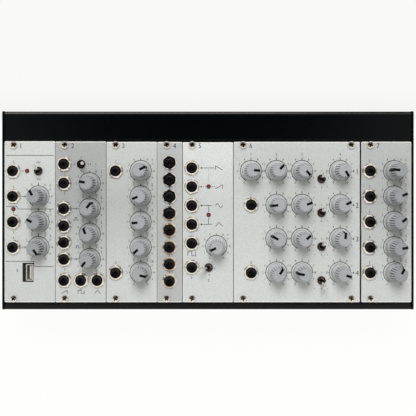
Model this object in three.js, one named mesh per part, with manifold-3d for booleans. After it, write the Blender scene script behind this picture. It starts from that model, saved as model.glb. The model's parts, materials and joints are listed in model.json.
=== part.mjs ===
// A table-top modular synthesizer: a shallow powered case that holds one row of seven modules.
// Millimetres. X runs along the row, Y from the player's edge to the rear, Z up.
// The origin is the centre of the footprint, on the table.

import * as THREE from 'three';
import { mergeVertices } from 'three/addons/utils/BufferGeometryUtils.js';
import Module from 'manifold-3d';

const wasm = await Module();
wasm.setup();

// The rack's own sizes
const RACK_UNIT = 5.08; // width of one horizontal unit
const PANEL_HEIGHT = 128.5;
const PANEL_THICKNESS = 2;
const PANEL_TRIM = 0.32; // how much narrower a panel is than its slot
const SCREW_EDGE_INSET = 3; // from a panel's front or rear edge to its screws
const SCREW_INSET = 7.5; // from a panel's side edge to its screws
const SCREW_HOLE_RADIUS = 1.7;
const CONTROL_PITCH_SHARE = 0.1576; // from one row of controls to the next, of a panel's height

// The case
const GAP = 0.3; // between two pieces that touch
const OVERRUN = 1; // how far a cutter or a joined piece runs past a face
const SIDE_CLEARANCE = 0.15; // from the row's end to a cheek
const CHEEK_THICKNESS = 1.5;
const CHEEK_PROUD = 0.4; // how far a cheek stands out past the body
const CHEEK_CORNER = 2;
const FRONT_GAP = 1.6; // from the panels to the front lip
const LIP_THICKNESS = 4.1;
const LIP_HEIGHT = 8;
const LIP_CHAMFER = 0.8;
const REAR_GAP = 1.2; // from the panels to the rear band
const BAND_WIDTH = 22.7;
const BAND_BEND = 2; // radius of the band's rear edge
const HOUSING_WALL = 2;
const RAIL_WIDTH = 9;
const RAIL_HEIGHT = 10;
const GROOVE_WIDTH = 3.4; // screw groove in a rail
const GROOVE_DEPTH = 7;
const TRAY_SHEET = 1.5;
const TRAY_FLANGE = 6; // height of the tray's rear flange
const MODULE_SPACE = 50; // from the tray's floor to the panels
const FOOT_HEIGHT = 2.5;
const FOOT_WIDTH = 12;
const FOOT_TAPER = 1.5;
const FOOT_INSET = 14; // from the body's front or rear to a foot
const FOOT_END_INSET = 20; // from a cheek to a foot's end

// The power board on the tray's floor
const BUS_THICKNESS = 1.6;
const BUS_STANDOFF = 5;
const BUS_POST = 6; // side of a square post under the board
const BUS_POST_INSET = 4; // from the board's edge to a post
const BUS_END_INSET = 12; // from a cheek to the board's end
const BUS_DEPTH = 62;
const BUS_REAR_CLEARANCE = 2; // from the board to the tray's flange
const HEADER_LENGTH = 16;
const HEADER_WIDTH = 8;
const HEADER_HEIGHT = 9;
const BUS_HEADER_SETBACK = 42; // from the board's rear edge to its headers
const INLET_WIDTH = 9;
const INLET_HEIGHT = 11;
const INLET_LENGTH = 16;
const INLET_BORE = 3; // radius
const INLET_BORE_DEPTH = 9;
const INLET_FROM_RIGHT = 62; // from the right cheek to the inlet

// The modules' boards
const BOARD_THICKNESS = 1.6;
const CONTROL_DEPTH = 10; // height of the controls' bodies under a panel
const BOARD_SIDE_INSET = 1.5; // from a panel's side edge to its board
const BOARD_RAIL_CLEARANCE = 2.5; // from a rail to a board
const RIBBON_WIDTH = 12.7;
const RIBBON_THICKNESS = 1;
const RIBBON_BOW = 8; // how far a ribbon bows to the front
const PLUG_HEIGHT = 5;

// Jacks, potentiometers, toggle switches, indicators and the data port
const JACK_BODY_WIDTH = 9;
const JACK_BODY_LENGTH = 10.5;
const JACK_BUSH_RADIUS = 4.2;
const JACK_BUSH_PROUD = 3; // above the panel
const JACK_BORE_RADIUS = 1.8;
const JACK_NUT_RADIUS = 6.1; // across corners
const JACK_NUT_HEIGHT = 2.2;
const JACK_SIDES = 8;
const JACK_BORE_SIDES = 6;
const POT_BODY = 13; // side of a square body
const POT_BUSHING_RADIUS = 4.75;
const POT_BUSHING_PROUD = 0.7;
const SHAFT_RADIUS = 3;
const SHAFT_ENTRY = 5; // how far a shaft runs in under the panel
const KNOB_SKIRT_RADIUS = 7.3;
const KNOB_SKIRT_EDGE = 4.8; // where the skirt's shoulder starts
const KNOB_SKIRT_HEIGHT = 6;
const KNOB_GRIP_RADIUS = 6.3; // where the grip meets the skirt
const KNOB_TOP_RADIUS = 5.4;
const KNOB_HEIGHT = 16;
const KNOB_SIDES = 16;
const POINTER_WIDTH = 1.5;
const POINTER_START = 1.2; // from the knob's axis
const POINTER_PROUD = 0.25;
const POINTER_ROOT = 0.6; // how deep the pointer is set in the knob
const TOGGLE_BODY_WIDTH = 7;
const TOGGLE_BODY_LENGTH = 12.5;
const TOGGLE_BUSH_RADIUS = 3.1;
const TOGGLE_BUSH_PROUD = 2;
const TOGGLE_NUT_RADIUS = 4.6; // across corners
const TOGGLE_NUT_HEIGHT = 1.4;
const TOGGLE_PIVOT_SINK = 1.5; // pivot under the bush's rim
const TOGGLE_BALL_RADIUS = 1.9;
const TOGGLE_NECK_RADIUS = 1.1;
const TOGGLE_TIP_RADIUS = 1.45;
const TOGGLE_REACH = 14.5; // from the pivot to the tip
const TOGGLE_TILT = 15; // degrees to each side
const TOGGLE_WIDE_TILT = 28; // of the one switch with a longer throw
const TOGGLE_SIDES = 10;
const TOGGLE_DROP = 6.3; // under the row of knobs that it belongs to
const LIGHT_RADIUS = 1.5;
const LIGHT_PROUD = 0.8;
const PORT_CUTOUT_WIDTH = 9;
const PORT_CUTOUT_LENGTH = 15.4;
const PORT_SHELL_WIDTH = 5.7;
const PORT_SHELL_LENGTH = 13.1;
const PORT_SHELL_WALL = 0.5;
const PORT_SHELL_DEPTH = 9;
const PORT_TONGUE_WIDTH = 1.8;
const PORT_SHIFT = 1.2; // shell to the right of its cut-out's middle
const PORT_BASE_THICKNESS = 1.2; // plate that the shell stands in, behind its cut-out
const PORT_BASE_MARGIN = 1.5; // past the cut-out
const NUT_SIDES = 6;
const HIDDEN_SIDES = 8; // of round shapes that nothing shows

// Each place is a column, as a share of the slot's width from its left edge, and a row, as a share of
// the controls' pitch above the panel's middle. A knob adds the degrees that its pointer stands at,
// clockwise from the rear. A toggle adds the side that its lever leans to.
const FILTER_ROW_SHARES = [2, 2 / 3, -2 / 3, -2];
const MULTIPLE_ROW_SHARES = [2.33, 1.66, 1, 0.33, -0.33, -1, -1.66, -2.33];
const MODULES = [
  {
    name: 'controller',
    units: 8,
    columnShares: { jack: 0.178, light: 0.448, knob: 0.671, port: 0.465 },
    jackShares: [['jack', 2], ['jack', 1], ['jack', 0], ['jack', -1]],
    knobShares: [['knob', 1, -30], ['knob', 0, -63], ['knob', -1, 145]],
    toggleShares: [['knob', 2, 'up']],
    lightShares: [['light', 2], ['jack', 0.5]],
    portShares: [['port', -2]],
  },
  {
    name: 'oscillator',
    units: 8,
    columnShares: { jack: 0.178, middle: 0.51, knob: 0.678, right: 0.83 },
    jackShares: [
      ['jack', 2.27], ['jack', 1.52], ['jack', 0.52], ['jack', -0.155], ['jack', -0.81],
      ['jack', -1.47], ['jack', -2.3], ['middle', -2.3], ['right', -2.3],
    ],
    knobShares: [['knob', 1.52, -80], ['knob', 0.52, 39], ['knob', -0.47, -22], ['knob', -1.47, -142]],
    toggleShares: [['middle', 2.27, 'right']],
  },
  {
    name: 'divider',
    units: 8,
    columnShares: { jack: 0.19, knob: 0.677 },
    jackShares: [['jack', 2], ['jack', -2]],
    knobShares: [['knob', 2, 63], ['knob', 1, -113], ['knob', 0, -95], ['knob', -1, -133], ['knob', -2, 104]],
  },
  {
    name: 'multiple',
    units: 4,
    columnShares: { jack: 0.49 },
    jackShares: MULTIPLE_ROW_SHARES.map((share) => ['jack', share]),
  },
  {
    name: 'modulator',
    units: 8,
    columnShares: { jack: 0.182, middle: 0.513, knob: 0.664 },
    jackShares: [
      ['jack', 2.12], ['jack', 1.38], ['jack', 0.64], ['jack', -0.1], ['jack', -0.84], ['jack', -1.79],
    ],
    knobShares: [['knob', -0.955, -116]],
    toggleShares: [['middle', -1.8, 'farLeft']],
    lightShares: [['middle', 1.39], ['middle', 0.27]],
  },
  {
    name: 'filter',
    units: 20,
    columnShares: { input: 0.138, frequency: 0.338, resonance: 0.539, mode: 0.691, level: 0.838 },
    jackShares: [['input', 2 / 3], ['input', -2]],
    knobShares: [
      ['input', FILTER_ROW_SHARES[0], 95],
      ['frequency', FILTER_ROW_SHARES[0], 43], ['resonance', FILTER_ROW_SHARES[0], 138],
      ['level', FILTER_ROW_SHARES[0], 150],
      ['frequency', FILTER_ROW_SHARES[1], -97], ['resonance', FILTER_ROW_SHARES[1], 70],
      ['level', FILTER_ROW_SHARES[1], 63],
      ['frequency', FILTER_ROW_SHARES[2], -62], ['resonance', FILTER_ROW_SHARES[2], 48],
      ['level', FILTER_ROW_SHARES[2], 6],
      ['frequency', FILTER_ROW_SHARES[3], 33], ['resonance', FILTER_ROW_SHARES[3], -80],
      ['level', FILTER_ROW_SHARES[3], 108],
    ],
    toggleShares: [
      ['mode', FILTER_ROW_SHARES[0], 'up'], ['mode', FILTER_ROW_SHARES[1], 'up'],
      ['mode', FILTER_ROW_SHARES[2], 'up'], ['mode', FILTER_ROW_SHARES[3], 'down'],
    ],
    toggleDrop: TOGGLE_DROP,
    secondScrewColumn: true,
  },
  {
    name: 'amplifier',
    units: 8,
    columnShares: { jack: 0.173, knob: 0.657 },
    jackShares: [['jack', 2], ['jack', 1], ['jack', 0], ['jack', -1], ['jack', -2]],
    knobShares: [['knob', 2, -87], ['knob', 1, 67], ['knob', 0, 53], ['knob', -1, 80], ['knob', -2, 26]],
  },
];

// Finishes
const paint = (name, color, roughness, metalness) =>
  new THREE.MeshStandardMaterial({ name, color, roughness, metalness });
const BLACK_COAT = paint('black_coat', 0x0b0d10, 0.45, 0.1);
const BARE_PANEL = paint('panel_silver', 0xcdd0cd, 0.5, 0.6);
const KNOB_PLASTIC = paint('knob_plastic', 0xb9bec1, 0.5, 0);
const CIRCUIT_GREEN = paint('circuit_board', 0x1f4d38, 0.5, 0);
const NICKEL = paint('nickel', 0xc9c6ba, 0.25, 1);
const RUBBER = paint('foot_rubber', 0x151515, 0.9, 0);

// Levels and lines that more than one piece follows
const rowUnits = MODULES.reduce((total, module) => total + module.units, 0);
const rowWidth = rowUnits * RACK_UNIT;
const cheekInner = rowWidth / 2 + SIDE_CLEARANCE;
const bodyDepth = LIP_THICKNESS + FRONT_GAP + PANEL_HEIGHT + REAR_GAP + BAND_WIDTH;
const bodyFront = -bodyDepth / 2;
const bodyRear = bodyDepth / 2;
const panelFront = bodyFront + LIP_THICKNESS + FRONT_GAP;
const panelMiddle = panelFront + PANEL_HEIGHT / 2;
const bandFront = panelFront + PANEL_HEIGHT + REAR_GAP;
const frontScrewLine = panelFront + SCREW_EDGE_INSET;
const rearScrewLine = panelFront + PANEL_HEIGHT - SCREW_EDGE_INSET;
const controlPitch = PANEL_HEIGHT * CONTROL_PITCH_SHARE;
const trayBottom = FOOT_HEIGHT + GAP;
const trayFloor = trayBottom + TRAY_SHEET;
const panelBottom = trayFloor + MODULE_SPACE;
const panelTop = panelBottom + PANEL_THICKNESS;
const railTop = panelBottom - GAP;
const lipBottom = panelTop - LIP_HEIGHT;
const trayRear = bodyRear - HOUSING_WALL - GAP;
const boardTop = panelBottom - GAP - CONTROL_DEPTH;
const boardBottom = boardTop - BOARD_THICKNESS;
const busBottom = trayFloor + BUS_STANDOFF;
const busTop = busBottom + BUS_THICKNESS;
const busRear = trayRear - TRAY_SHEET - BUS_REAR_CLEARANCE;
const headerLine = busRear - BUS_HEADER_SETBACK;
const inletX = cheekInner - INLET_FROM_RIGHT;
const inletZ = busTop - BUS_THICKNESS / 2 + INLET_HEIGHT / 2;
const togglePivot = panelTop + TOGGLE_BUSH_PROUD - TOGGLE_PIVOT_SINK;
const knobBottom = panelTop + POT_BUSHING_PROUD + GAP;

// A closed solid from any closed three.js geometry, for joining and cutting
function solid(geometry) {
  const bare = geometry.clone();
  bare.deleteAttribute('normal');
  bare.deleteAttribute('uv');
  const merged = mergeVertices(bare);
  const index = merged.index.array;
  const triVerts = [];
  for (let i = 0; i < index.length; i += 3) {
    const [a, b, c] = [index[i], index[i + 1], index[i + 2]];
    if (a !== b && b !== c && c !== a) triVerts.push(a, b, c);
  }
  const mesh = new wasm.Mesh({
    numProp: 3,
    vertProperties: merged.attributes.position.array,
    triVerts: new Uint32Array(triVerts),
  });
  return new wasm.Manifold(mesh);
}

// The geometry of a joined or cut solid
function geometryOf(manifold) {
  const mesh = manifold.getMesh();
  const geometry = new THREE.BufferGeometry();
  geometry.setAttribute('position', new THREE.BufferAttribute(new Float32Array(mesh.vertProperties), 3));
  geometry.setIndex(new THREE.BufferAttribute(new Uint32Array(mesh.triVerts), 1));
  geometry.computeVertexNormals();
  return geometry;
}

const joined = (pieces) => pieces.reduce((whole, piece) => whole.add(piece));

// A box between two corners
function block([x0, x1], [y0, y1], [z0, z1]) {
  const geometry = new THREE.BoxGeometry(x1 - x0, y1 - y0, z1 - z0);
  geometry.translate((x0 + x1) / 2, (y0 + y1) / 2, (z0 + z1) / 2);
  return geometry;
}

const around = (middle, width) => [middle - width / 2, middle + width / 2];

// A regular post about an upright axis; its radius is to the corners
function post(x, y, radius, sides, [z0, z1]) {
  const geometry = new THREE.CylinderGeometry(radius, radius, z1 - z0, sides);
  geometry.rotateX(Math.PI / 2);
  geometry.translate(x, y, (z0 + z1) / 2);
  return geometry;
}

// The corner radius of a regular hole that clears a round or regular post by the gap
const clearing = (radius, sides) => (radius + GAP) / Math.cos(Math.PI / sides);

// An outline in Y and Z, run along X between two ends
function profile(points, [x0, x1]) {
  const shape = new THREE.Shape(points.map(([y, z]) => new THREE.Vector2(y, z)));
  const geometry = new THREE.ExtrudeGeometry(shape, { depth: x1 - x0, bevelEnabled: false });
  const yzx = new THREE.Matrix4().makeBasis(
    new THREE.Vector3(0, 1, 0), new THREE.Vector3(0, 0, 1), new THREE.Vector3(1, 0, 0));
  geometry.applyMatrix4(yzx);
  geometry.translate(x0, 0, 0);
  return geometry;
}

// The points of a quarter turn, from one angle to the next, about a centre
function quarter([y, z], radius, startDegrees, steps) {
  return Array.from({ length: steps + 1 }, (_, step) => {
    const angle = THREE.MathUtils.degToRad(startDegrees + (90 * step) / steps);
    return [y + radius * Math.cos(angle), z + radius * Math.sin(angle)];
  });
}

const BEND_STEPS = 4;
const CORNER_STEPS = 3;

// Outlines of the case

// The points of a screw groove, from its rear edge to its front edge
function groove(screwLine) {
  const [front, rear] = around(screwLine, GROOVE_WIDTH);
  return [[rear, railTop], [rear, railTop - GROOVE_DEPTH], [front, railTop - GROOVE_DEPTH], [front, railTop]];
}

const railEnds = [-cheekInner + GAP, cheekInner - GAP];

function frontRail() {
  const innerEdge = frontScrewLine + RAIL_WIDTH / 2;
  const wall = bodyFront + TRAY_SHEET + GAP;
  return profile([
    [bodyFront, lipBottom], [wall, lipBottom], [wall, railTop - RAIL_HEIGHT],
    [innerEdge, railTop - RAIL_HEIGHT], [innerEdge, railTop],
    ...groove(frontScrewLine),
    [bodyFront + LIP_THICKNESS, railTop], [bodyFront + LIP_THICKNESS, panelTop],
    [bodyFront + LIP_CHAMFER, panelTop], [bodyFront, panelTop - LIP_CHAMFER],
  ], railEnds);
}

function rearHousing() {
  const innerEdge = rearScrewLine - RAIL_WIDTH / 2;
  const bend = quarter([bodyRear - BAND_BEND, panelTop - BAND_BEND], BAND_BEND, 0, BEND_STEPS);
  const shell = solid(profile([
    [bodyRear, trayBottom], ...bend,
    [bandFront, panelTop], [bandFront, railTop],
    ...groove(rearScrewLine),
    [innerEdge, railTop], [innerEdge, railTop - RAIL_HEIGHT],
    [bandFront + HOUSING_WALL, railTop - RAIL_HEIGHT], [bandFront + HOUSING_WALL, panelTop - HOUSING_WALL],
    [bodyRear - HOUSING_WALL, panelTop - HOUSING_WALL], [bodyRear - HOUSING_WALL, trayBottom],
  ], railEnds));
  const window = block(
    around(inletX, INLET_WIDTH + 2 * GAP),
    [bodyRear - HOUSING_WALL - OVERRUN, bodyRear + OVERRUN],
    around(inletZ, INLET_HEIGHT + 2 * GAP));
  return geometryOf(shell.subtract(solid(window)));
}

function bottomTray() {
  return profile([
    [bodyFront, trayBottom], [trayRear, trayBottom], [trayRear, trayBottom + TRAY_FLANGE],
    [trayRear - TRAY_SHEET, trayBottom + TRAY_FLANGE], [trayRear - TRAY_SHEET, trayFloor],
    [bodyFront + TRAY_SHEET, trayFloor], [bodyFront + TRAY_SHEET, lipBottom - GAP],
    [bodyFront, lipBottom - GAP],
  ], railEnds);
}

function cheek(inner, outer) {
  const front = bodyFront - CHEEK_PROUD + CHEEK_CORNER;
  const rear = bodyRear + CHEEK_PROUD - CHEEK_CORNER;
  const low = trayBottom + CHEEK_CORNER;
  const high = panelTop + CHEEK_PROUD - CHEEK_CORNER;
  return profile([
    ...quarter([rear, high], CHEEK_CORNER, 0, CORNER_STEPS),
    ...quarter([front, high], CHEEK_CORNER, 90, CORNER_STEPS),
    ...quarter([front, low], CHEEK_CORNER, 180, CORNER_STEPS),
    ...quarter([rear, low], CHEEK_CORNER, 270, CORNER_STEPS),
  ], inner < outer ? [inner, outer] : [outer, inner]);
}

function footStrip(middle) {
  const [front, rear] = around(middle, FOOT_WIDTH);
  return profile([
    [front + FOOT_TAPER, 0], [rear - FOOT_TAPER, 0], [rear, FOOT_HEIGHT], [front, FOOT_HEIGHT],
  ], [-cheekInner + FOOT_END_INSET, cheekInner - FOOT_END_INSET]);
}

// The power board with its posts, one header for each module, and the inlet in the rear wall
function powerBoard(slots) {
  const ends = [-cheekInner + BUS_END_INSET, cheekInner - BUS_END_INSET];
  const busFront = busRear - BUS_DEPTH;
  const pieces = [solid(block(ends, [busFront, busRear], [busBottom, busTop]))];
  const postEnd = BUS_POST_INSET + BUS_POST / 2;
  for (const x of [ends[0] + postEnd, 0, ends[1] - postEnd]) {
    for (const y of [busFront + postEnd, busRear - postEnd]) {
      const height = [trayFloor + GAP, busBottom + BUS_THICKNESS / 2];
      pieces.push(solid(block(around(x, BUS_POST), around(y, BUS_POST), height)));
    }
  }
  for (const slot of slots) {
    const height = [busTop - BUS_THICKNESS / 2, busTop + HEADER_HEIGHT];
    pieces.push(solid(block(around(slot.middle, HEADER_LENGTH), around(headerLine, HEADER_WIDTH), height)));
  }
  const inletBody = block(
    around(inletX, INLET_WIDTH), [bodyRear - INLET_LENGTH, bodyRear], around(inletZ, INLET_HEIGHT));
  const bore = new THREE.CylinderGeometry(
    INLET_BORE, INLET_BORE, INLET_BORE_DEPTH + OVERRUN, HIDDEN_SIDES);
  bore.translate(inletX, bodyRear + OVERRUN - (INLET_BORE_DEPTH + OVERRUN) / 2, inletZ);
  pieces.push(solid(inletBody).subtract(solid(bore)));
  return geometryOf(joined(pieces));
}

// The middle of each control of one kind, in millimetres
function placesOf(slot, shares = [], drop = 0) {
  return shares.map(([column, rowShare, setting]) => ({
    x: slot.left + slot.module.columnShares[column] * slot.width,
    y: panelMiddle + rowShare * controlPitch - drop,
    setting,
  }));
}

function controlsOf(slot) {
  const { module } = slot;
  return {
    jacks: placesOf(slot, module.jackShares),
    knobs: placesOf(slot, module.knobShares),
    toggles: placesOf(slot, module.toggleShares, module.toggleDrop),
    lights: placesOf(slot, module.lightShares),
    ports: placesOf(slot, module.portShares),
  };
}

function regularHole({ x, y }, radius, sides) {
  const turn = (2 * Math.PI) / sides;
  return new THREE.Path(Array.from({ length: sides }, (_, side) => {
    const angle = (side + 1 / 2) * turn;
    return new THREE.Vector2(x + radius * Math.cos(angle), y + radius * Math.sin(angle));
  }));
}

function rectangle([x0, x1], [y0, y1]) {
  return [[x0, y0], [x1, y0], [x1, y1], [x0, y1]].map(([x, y]) => new THREE.Vector2(x, y));
}

// A front panel: a plate with a hole for each control and screw
function frontPanel(slot) {
  const { jacks, knobs, toggles, lights, ports } = controlsOf(slot);
  const [left, right] = [slot.left + PANEL_TRIM / 2, slot.left + slot.width - PANEL_TRIM / 2];
  const plate = new THREE.Shape(rectangle([left, right], [panelFront, panelFront + PANEL_HEIGHT]));
  const screwColumns = [left + SCREW_INSET];
  if (slot.module.secondScrewColumn) screwColumns.push(right - SCREW_INSET);
  const screws = screwColumns.flatMap((x) => [frontScrewLine, rearScrewLine].map((y) => ({ x, y })));
  const cut = (places, radius, sides) =>
    places.forEach((place) => plate.holes.push(regularHole(place, radius, sides)));
  cut(screws, SCREW_HOLE_RADIUS, HIDDEN_SIDES);
  cut(jacks, clearing(JACK_BUSH_RADIUS, JACK_SIDES), JACK_SIDES);
  cut(knobs, clearing(POT_BUSHING_RADIUS, HIDDEN_SIDES), HIDDEN_SIDES);
  cut(toggles, clearing(TOGGLE_BUSH_RADIUS, TOGGLE_SIDES), TOGGLE_SIDES);
  cut(lights, clearing(LIGHT_RADIUS, HIDDEN_SIDES), HIDDEN_SIDES);
  for (const { x, y } of ports) {
    const corners = rectangle(around(x, PORT_CUTOUT_WIDTH), around(y, PORT_CUTOUT_LENGTH));
    plate.holes.push(new THREE.Path(corners));
  }
  const geometry = new THREE.ExtrudeGeometry(plate, { depth: PANEL_THICKNESS, bevelEnabled: false });
  geometry.translate(0, 0, panelBottom);
  return geometry;
}

// A control's body starts inside the board, so that the two join
const bodyRoot = boardTop - BOARD_THICKNESS / 2;

function jackUnit({ x, y }) {
  const bushTop = panelTop + JACK_BUSH_PROUD;
  const nut = [panelTop + GAP, panelTop + GAP + JACK_NUT_HEIGHT];
  const whole = joined([
    solid(block(around(x, JACK_BODY_WIDTH), around(y, JACK_BODY_LENGTH), [bodyRoot, panelBottom - GAP])),
    solid(post(x, y, JACK_BUSH_RADIUS, JACK_SIDES, [boardTop, bushTop])),
    solid(post(x, y, JACK_NUT_RADIUS, NUT_SIDES, nut)),
  ]);
  return whole.subtract(solid(post(x, y, JACK_BORE_RADIUS, JACK_BORE_SIDES, [boardTop, bushTop + OVERRUN])));
}

function potUnit({ x, y }) {
  const bushTop = panelTop + POT_BUSHING_PROUD;
  const whole = joined([
    solid(block(around(x, POT_BODY), around(y, POT_BODY), [bodyRoot, panelBottom - GAP])),
    solid(post(x, y, POT_BUSHING_RADIUS, HIDDEN_SIDES, [boardTop, bushTop])),
  ]);
  const bore = [panelBottom - SHAFT_ENTRY - GAP, bushTop + OVERRUN];
  return whole.subtract(solid(post(x, y, clearing(SHAFT_RADIUS, HIDDEN_SIDES), HIDDEN_SIDES, bore)));
}

function toggleUnit({ x, y, setting }) {
  const across = LEANS[setting][1] !== 0;
  const [width, length] = across
    ? [TOGGLE_BODY_LENGTH, TOGGLE_BODY_WIDTH]
    : [TOGGLE_BODY_WIDTH, TOGGLE_BODY_LENGTH];
  const bushTop = panelTop + TOGGLE_BUSH_PROUD;
  const nut = [panelTop + GAP, panelTop + GAP + TOGGLE_NUT_HEIGHT];
  const whole = joined([
    solid(block(around(x, width), around(y, length), [bodyRoot, panelBottom - GAP])),
    solid(post(x, y, TOGGLE_BUSH_RADIUS, TOGGLE_SIDES, [boardTop, bushTop])),
    solid(post(x, y, TOGGLE_NUT_RADIUS, NUT_SIDES, nut)),
  ]);
  const bore = [togglePivot - TOGGLE_BALL_RADIUS - GAP, bushTop + OVERRUN];
  return whole.subtract(solid(post(x, y, clearing(TOGGLE_BALL_RADIUS, TOGGLE_SIDES), TOGGLE_SIDES, bore)));
}

function lightUnit({ x, y }) {
  return solid(post(x, y, LIGHT_RADIUS, HIDDEN_SIDES, [bodyRoot, panelTop + LIGHT_PROUD]));
}

function portUnit({ x, y }) {
  const middle = x + PORT_SHIFT;
  const top = panelTop - GAP;
  const innerWidth = PORT_SHELL_WIDTH - 2 * PORT_SHELL_WALL;
  const innerLength = PORT_SHELL_LENGTH - 2 * PORT_SHELL_WALL;
  const floor = top - PORT_SHELL_DEPTH;
  const shell = solid(block(around(middle, PORT_SHELL_WIDTH), around(y, PORT_SHELL_LENGTH), [bodyRoot, top]));
  const mouth = solid(block(around(middle, innerWidth), around(y, innerLength), [floor, top + OVERRUN]));
  const base = solid(block(
    around(x, PORT_CUTOUT_WIDTH + 2 * PORT_BASE_MARGIN), around(y, PORT_CUTOUT_LENGTH + 2 * PORT_BASE_MARGIN),
    [panelBottom - GAP - PORT_BASE_THICKNESS, panelBottom - GAP]));
  const tongue = solid(block(
    around(middle, PORT_TONGUE_WIDTH), around(y, innerLength - innerWidth / 2),
    [floor - PORT_SHELL_WALL, top - PORT_SHELL_WALL]));
  return shell.add(base).subtract(mouth).add(tongue);
}

// A header under the board and a flat ribbon that bows down to the plug on the power board
function ribbonUnit(slot) {
  const plugTop = busTop + HEADER_HEIGHT + GAP + PLUG_HEIGHT;
  const headerBottom = boardBottom - HEADER_HEIGHT;
  const across = around(slot.middle, HEADER_LENGTH);
  const header = block(across, around(headerLine, HEADER_WIDTH), [headerBottom, bodyRoot]);
  const plug = block(across, around(headerLine, HEADER_WIDTH), [plugTop - PLUG_HEIGHT, plugTop]);
  const outer = headerLine - HEADER_WIDTH / 2 - RIBBON_BOW;
  const inner = outer + RIBBON_THICKNESS;
  const [root, tip] = [headerBottom + HEADER_HEIGHT / 2, plugTop - PLUG_HEIGHT / 2];
  const ribbon = profile([
    [headerLine, root], [outer, root], [outer, tip], [headerLine, tip],
    [headerLine, tip + RIBBON_THICKNESS], [inner, tip + RIBBON_THICKNESS],
    [inner, root - RIBBON_THICKNESS], [headerLine, root - RIBBON_THICKNESS],
  ], around(slot.middle, RIBBON_WIDTH));
  return joined([solid(header), solid(plug), solid(ribbon)]);
}

// A module's board with all that is soldered to it
function moduleBoard(slot) {
  const { jacks, knobs, toggles, lights, ports } = controlsOf(slot);
  const inset = PANEL_TRIM / 2 + BOARD_SIDE_INSET;
  const railReach = RAIL_WIDTH / 2 + BOARD_RAIL_CLEARANCE;
  const plate = block(
    [slot.left + inset, slot.left + slot.width - inset],
    [frontScrewLine + railReach, rearScrewLine - railReach], [boardBottom, boardTop]);
  return geometryOf(joined([
    solid(plate),
    ribbonUnit(slot),
    ...jacks.map(jackUnit),
    ...knobs.map(potUnit),
    ...toggles.map(toggleUnit),
    ...lights.map(lightUnit),
    ...ports.map(portUnit),
  ]));
}

// A solid turned about Z from radius and height points that start and end on the axis
function turned(outline, sides) {
  const geometry = new THREE.LatheGeometry(
    outline.map(([radius, height]) => new THREE.Vector2(radius, height)), sides);
  geometry.rotateX(Math.PI / 2);
  return solid(geometry);
}

// A knob with the shaft that it is pushed on, about its own axis, its base at zero height
function knobWithShaft() {
  const body = turned([
    [0, 0], [KNOB_SKIRT_RADIUS, 0], [KNOB_SKIRT_RADIUS, KNOB_SKIRT_EDGE],
    [KNOB_GRIP_RADIUS, KNOB_SKIRT_HEIGHT], [KNOB_TOP_RADIUS, KNOB_HEIGHT], [0, KNOB_HEIGHT],
  ], KNOB_SIDES);
  const shaftEnd = panelBottom - SHAFT_ENTRY - knobBottom;
  const shaft = post(0, 0, SHAFT_RADIUS, HIDDEN_SIDES, [shaftEnd, KNOB_HEIGHT / 2]);
  const rim = KNOB_TOP_RADIUS + POINTER_PROUD;
  const pointer = profile([
    [POINTER_START, KNOB_HEIGHT - POINTER_ROOT], [KNOB_TOP_RADIUS - POINTER_ROOT, KNOB_HEIGHT - POINTER_ROOT],
    [KNOB_GRIP_RADIUS - POINTER_ROOT, KNOB_SKIRT_HEIGHT], [KNOB_GRIP_RADIUS + POINTER_PROUD, KNOB_SKIRT_HEIGHT],
    [rim, KNOB_HEIGHT + POINTER_PROUD], [POINTER_START, KNOB_HEIGHT + POINTER_PROUD],
  ], around(0, POINTER_WIDTH));
  return geometryOf(joined([body, solid(shaft), solid(pointer)]));
}

// A bat-shaped lever about its pivot, upright
function toggleLever() {
  const ballSlope = TOGGLE_BALL_RADIUS * Math.SQRT1_2;
  return geometryOf(turned([
    [0, -TOGGLE_BALL_RADIUS], [ballSlope, -ballSlope], [TOGGLE_BALL_RADIUS, 0],
    [TOGGLE_NECK_RADIUS, TOGGLE_BALL_RADIUS],
    [TOGGLE_TIP_RADIUS, TOGGLE_REACH - TOGGLE_TIP_RADIUS],
    [TOGGLE_TIP_RADIUS * Math.SQRT1_2, TOGGLE_REACH - TOGGLE_TIP_RADIUS * (1 - Math.SQRT1_2)],
    [0, TOGGLE_REACH],
  ], HIDDEN_SIDES));
}

// How a lever is turned to lean to each side
const tilt = THREE.MathUtils.degToRad(TOGGLE_TILT);
const wideTilt = THREE.MathUtils.degToRad(TOGGLE_WIDE_TILT);
const LEANS = { up: [-tilt, 0, 0], down: [tilt, 0, 0], right: [0, tilt, 0], farLeft: [0, -wideTilt, 0] };

const synthesizer = new THREE.Group();

function add(name, geometry, material, position = [0, 0, 0], rotation = [0, 0, 0]) {
  const mesh = new THREE.Mesh(geometry, material);
  mesh.name = name;
  mesh.position.set(...position);
  mesh.rotation.set(...rotation);
  synthesizer.add(mesh);
}

let left = -rowWidth / 2;
const slots = MODULES.map((module) => {
  const width = module.units * RACK_UNIT;
  const slot = { module, left, width, middle: left + width / 2 };
  left += width;
  return slot;
});

add('front_rail', frontRail(), BLACK_COAT);
add('rear_housing', rearHousing(), BLACK_COAT);
add('bottom_tray', bottomTray(), BLACK_COAT);
add('left_cheek', cheek(-cheekInner, -cheekInner - CHEEK_THICKNESS), BLACK_COAT);
add('right_cheek', cheek(cheekInner, cheekInner + CHEEK_THICKNESS), BLACK_COAT);
add('front_foot_strip', footStrip(bodyFront + FOOT_INSET), RUBBER);
add('rear_foot_strip', footStrip(bodyRear - FOOT_INSET), RUBBER);
add('power_board', powerBoard(slots), CIRCUIT_GREEN);

const knobGeometry = knobWithShaft();
const leverGeometry = toggleLever();

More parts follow.
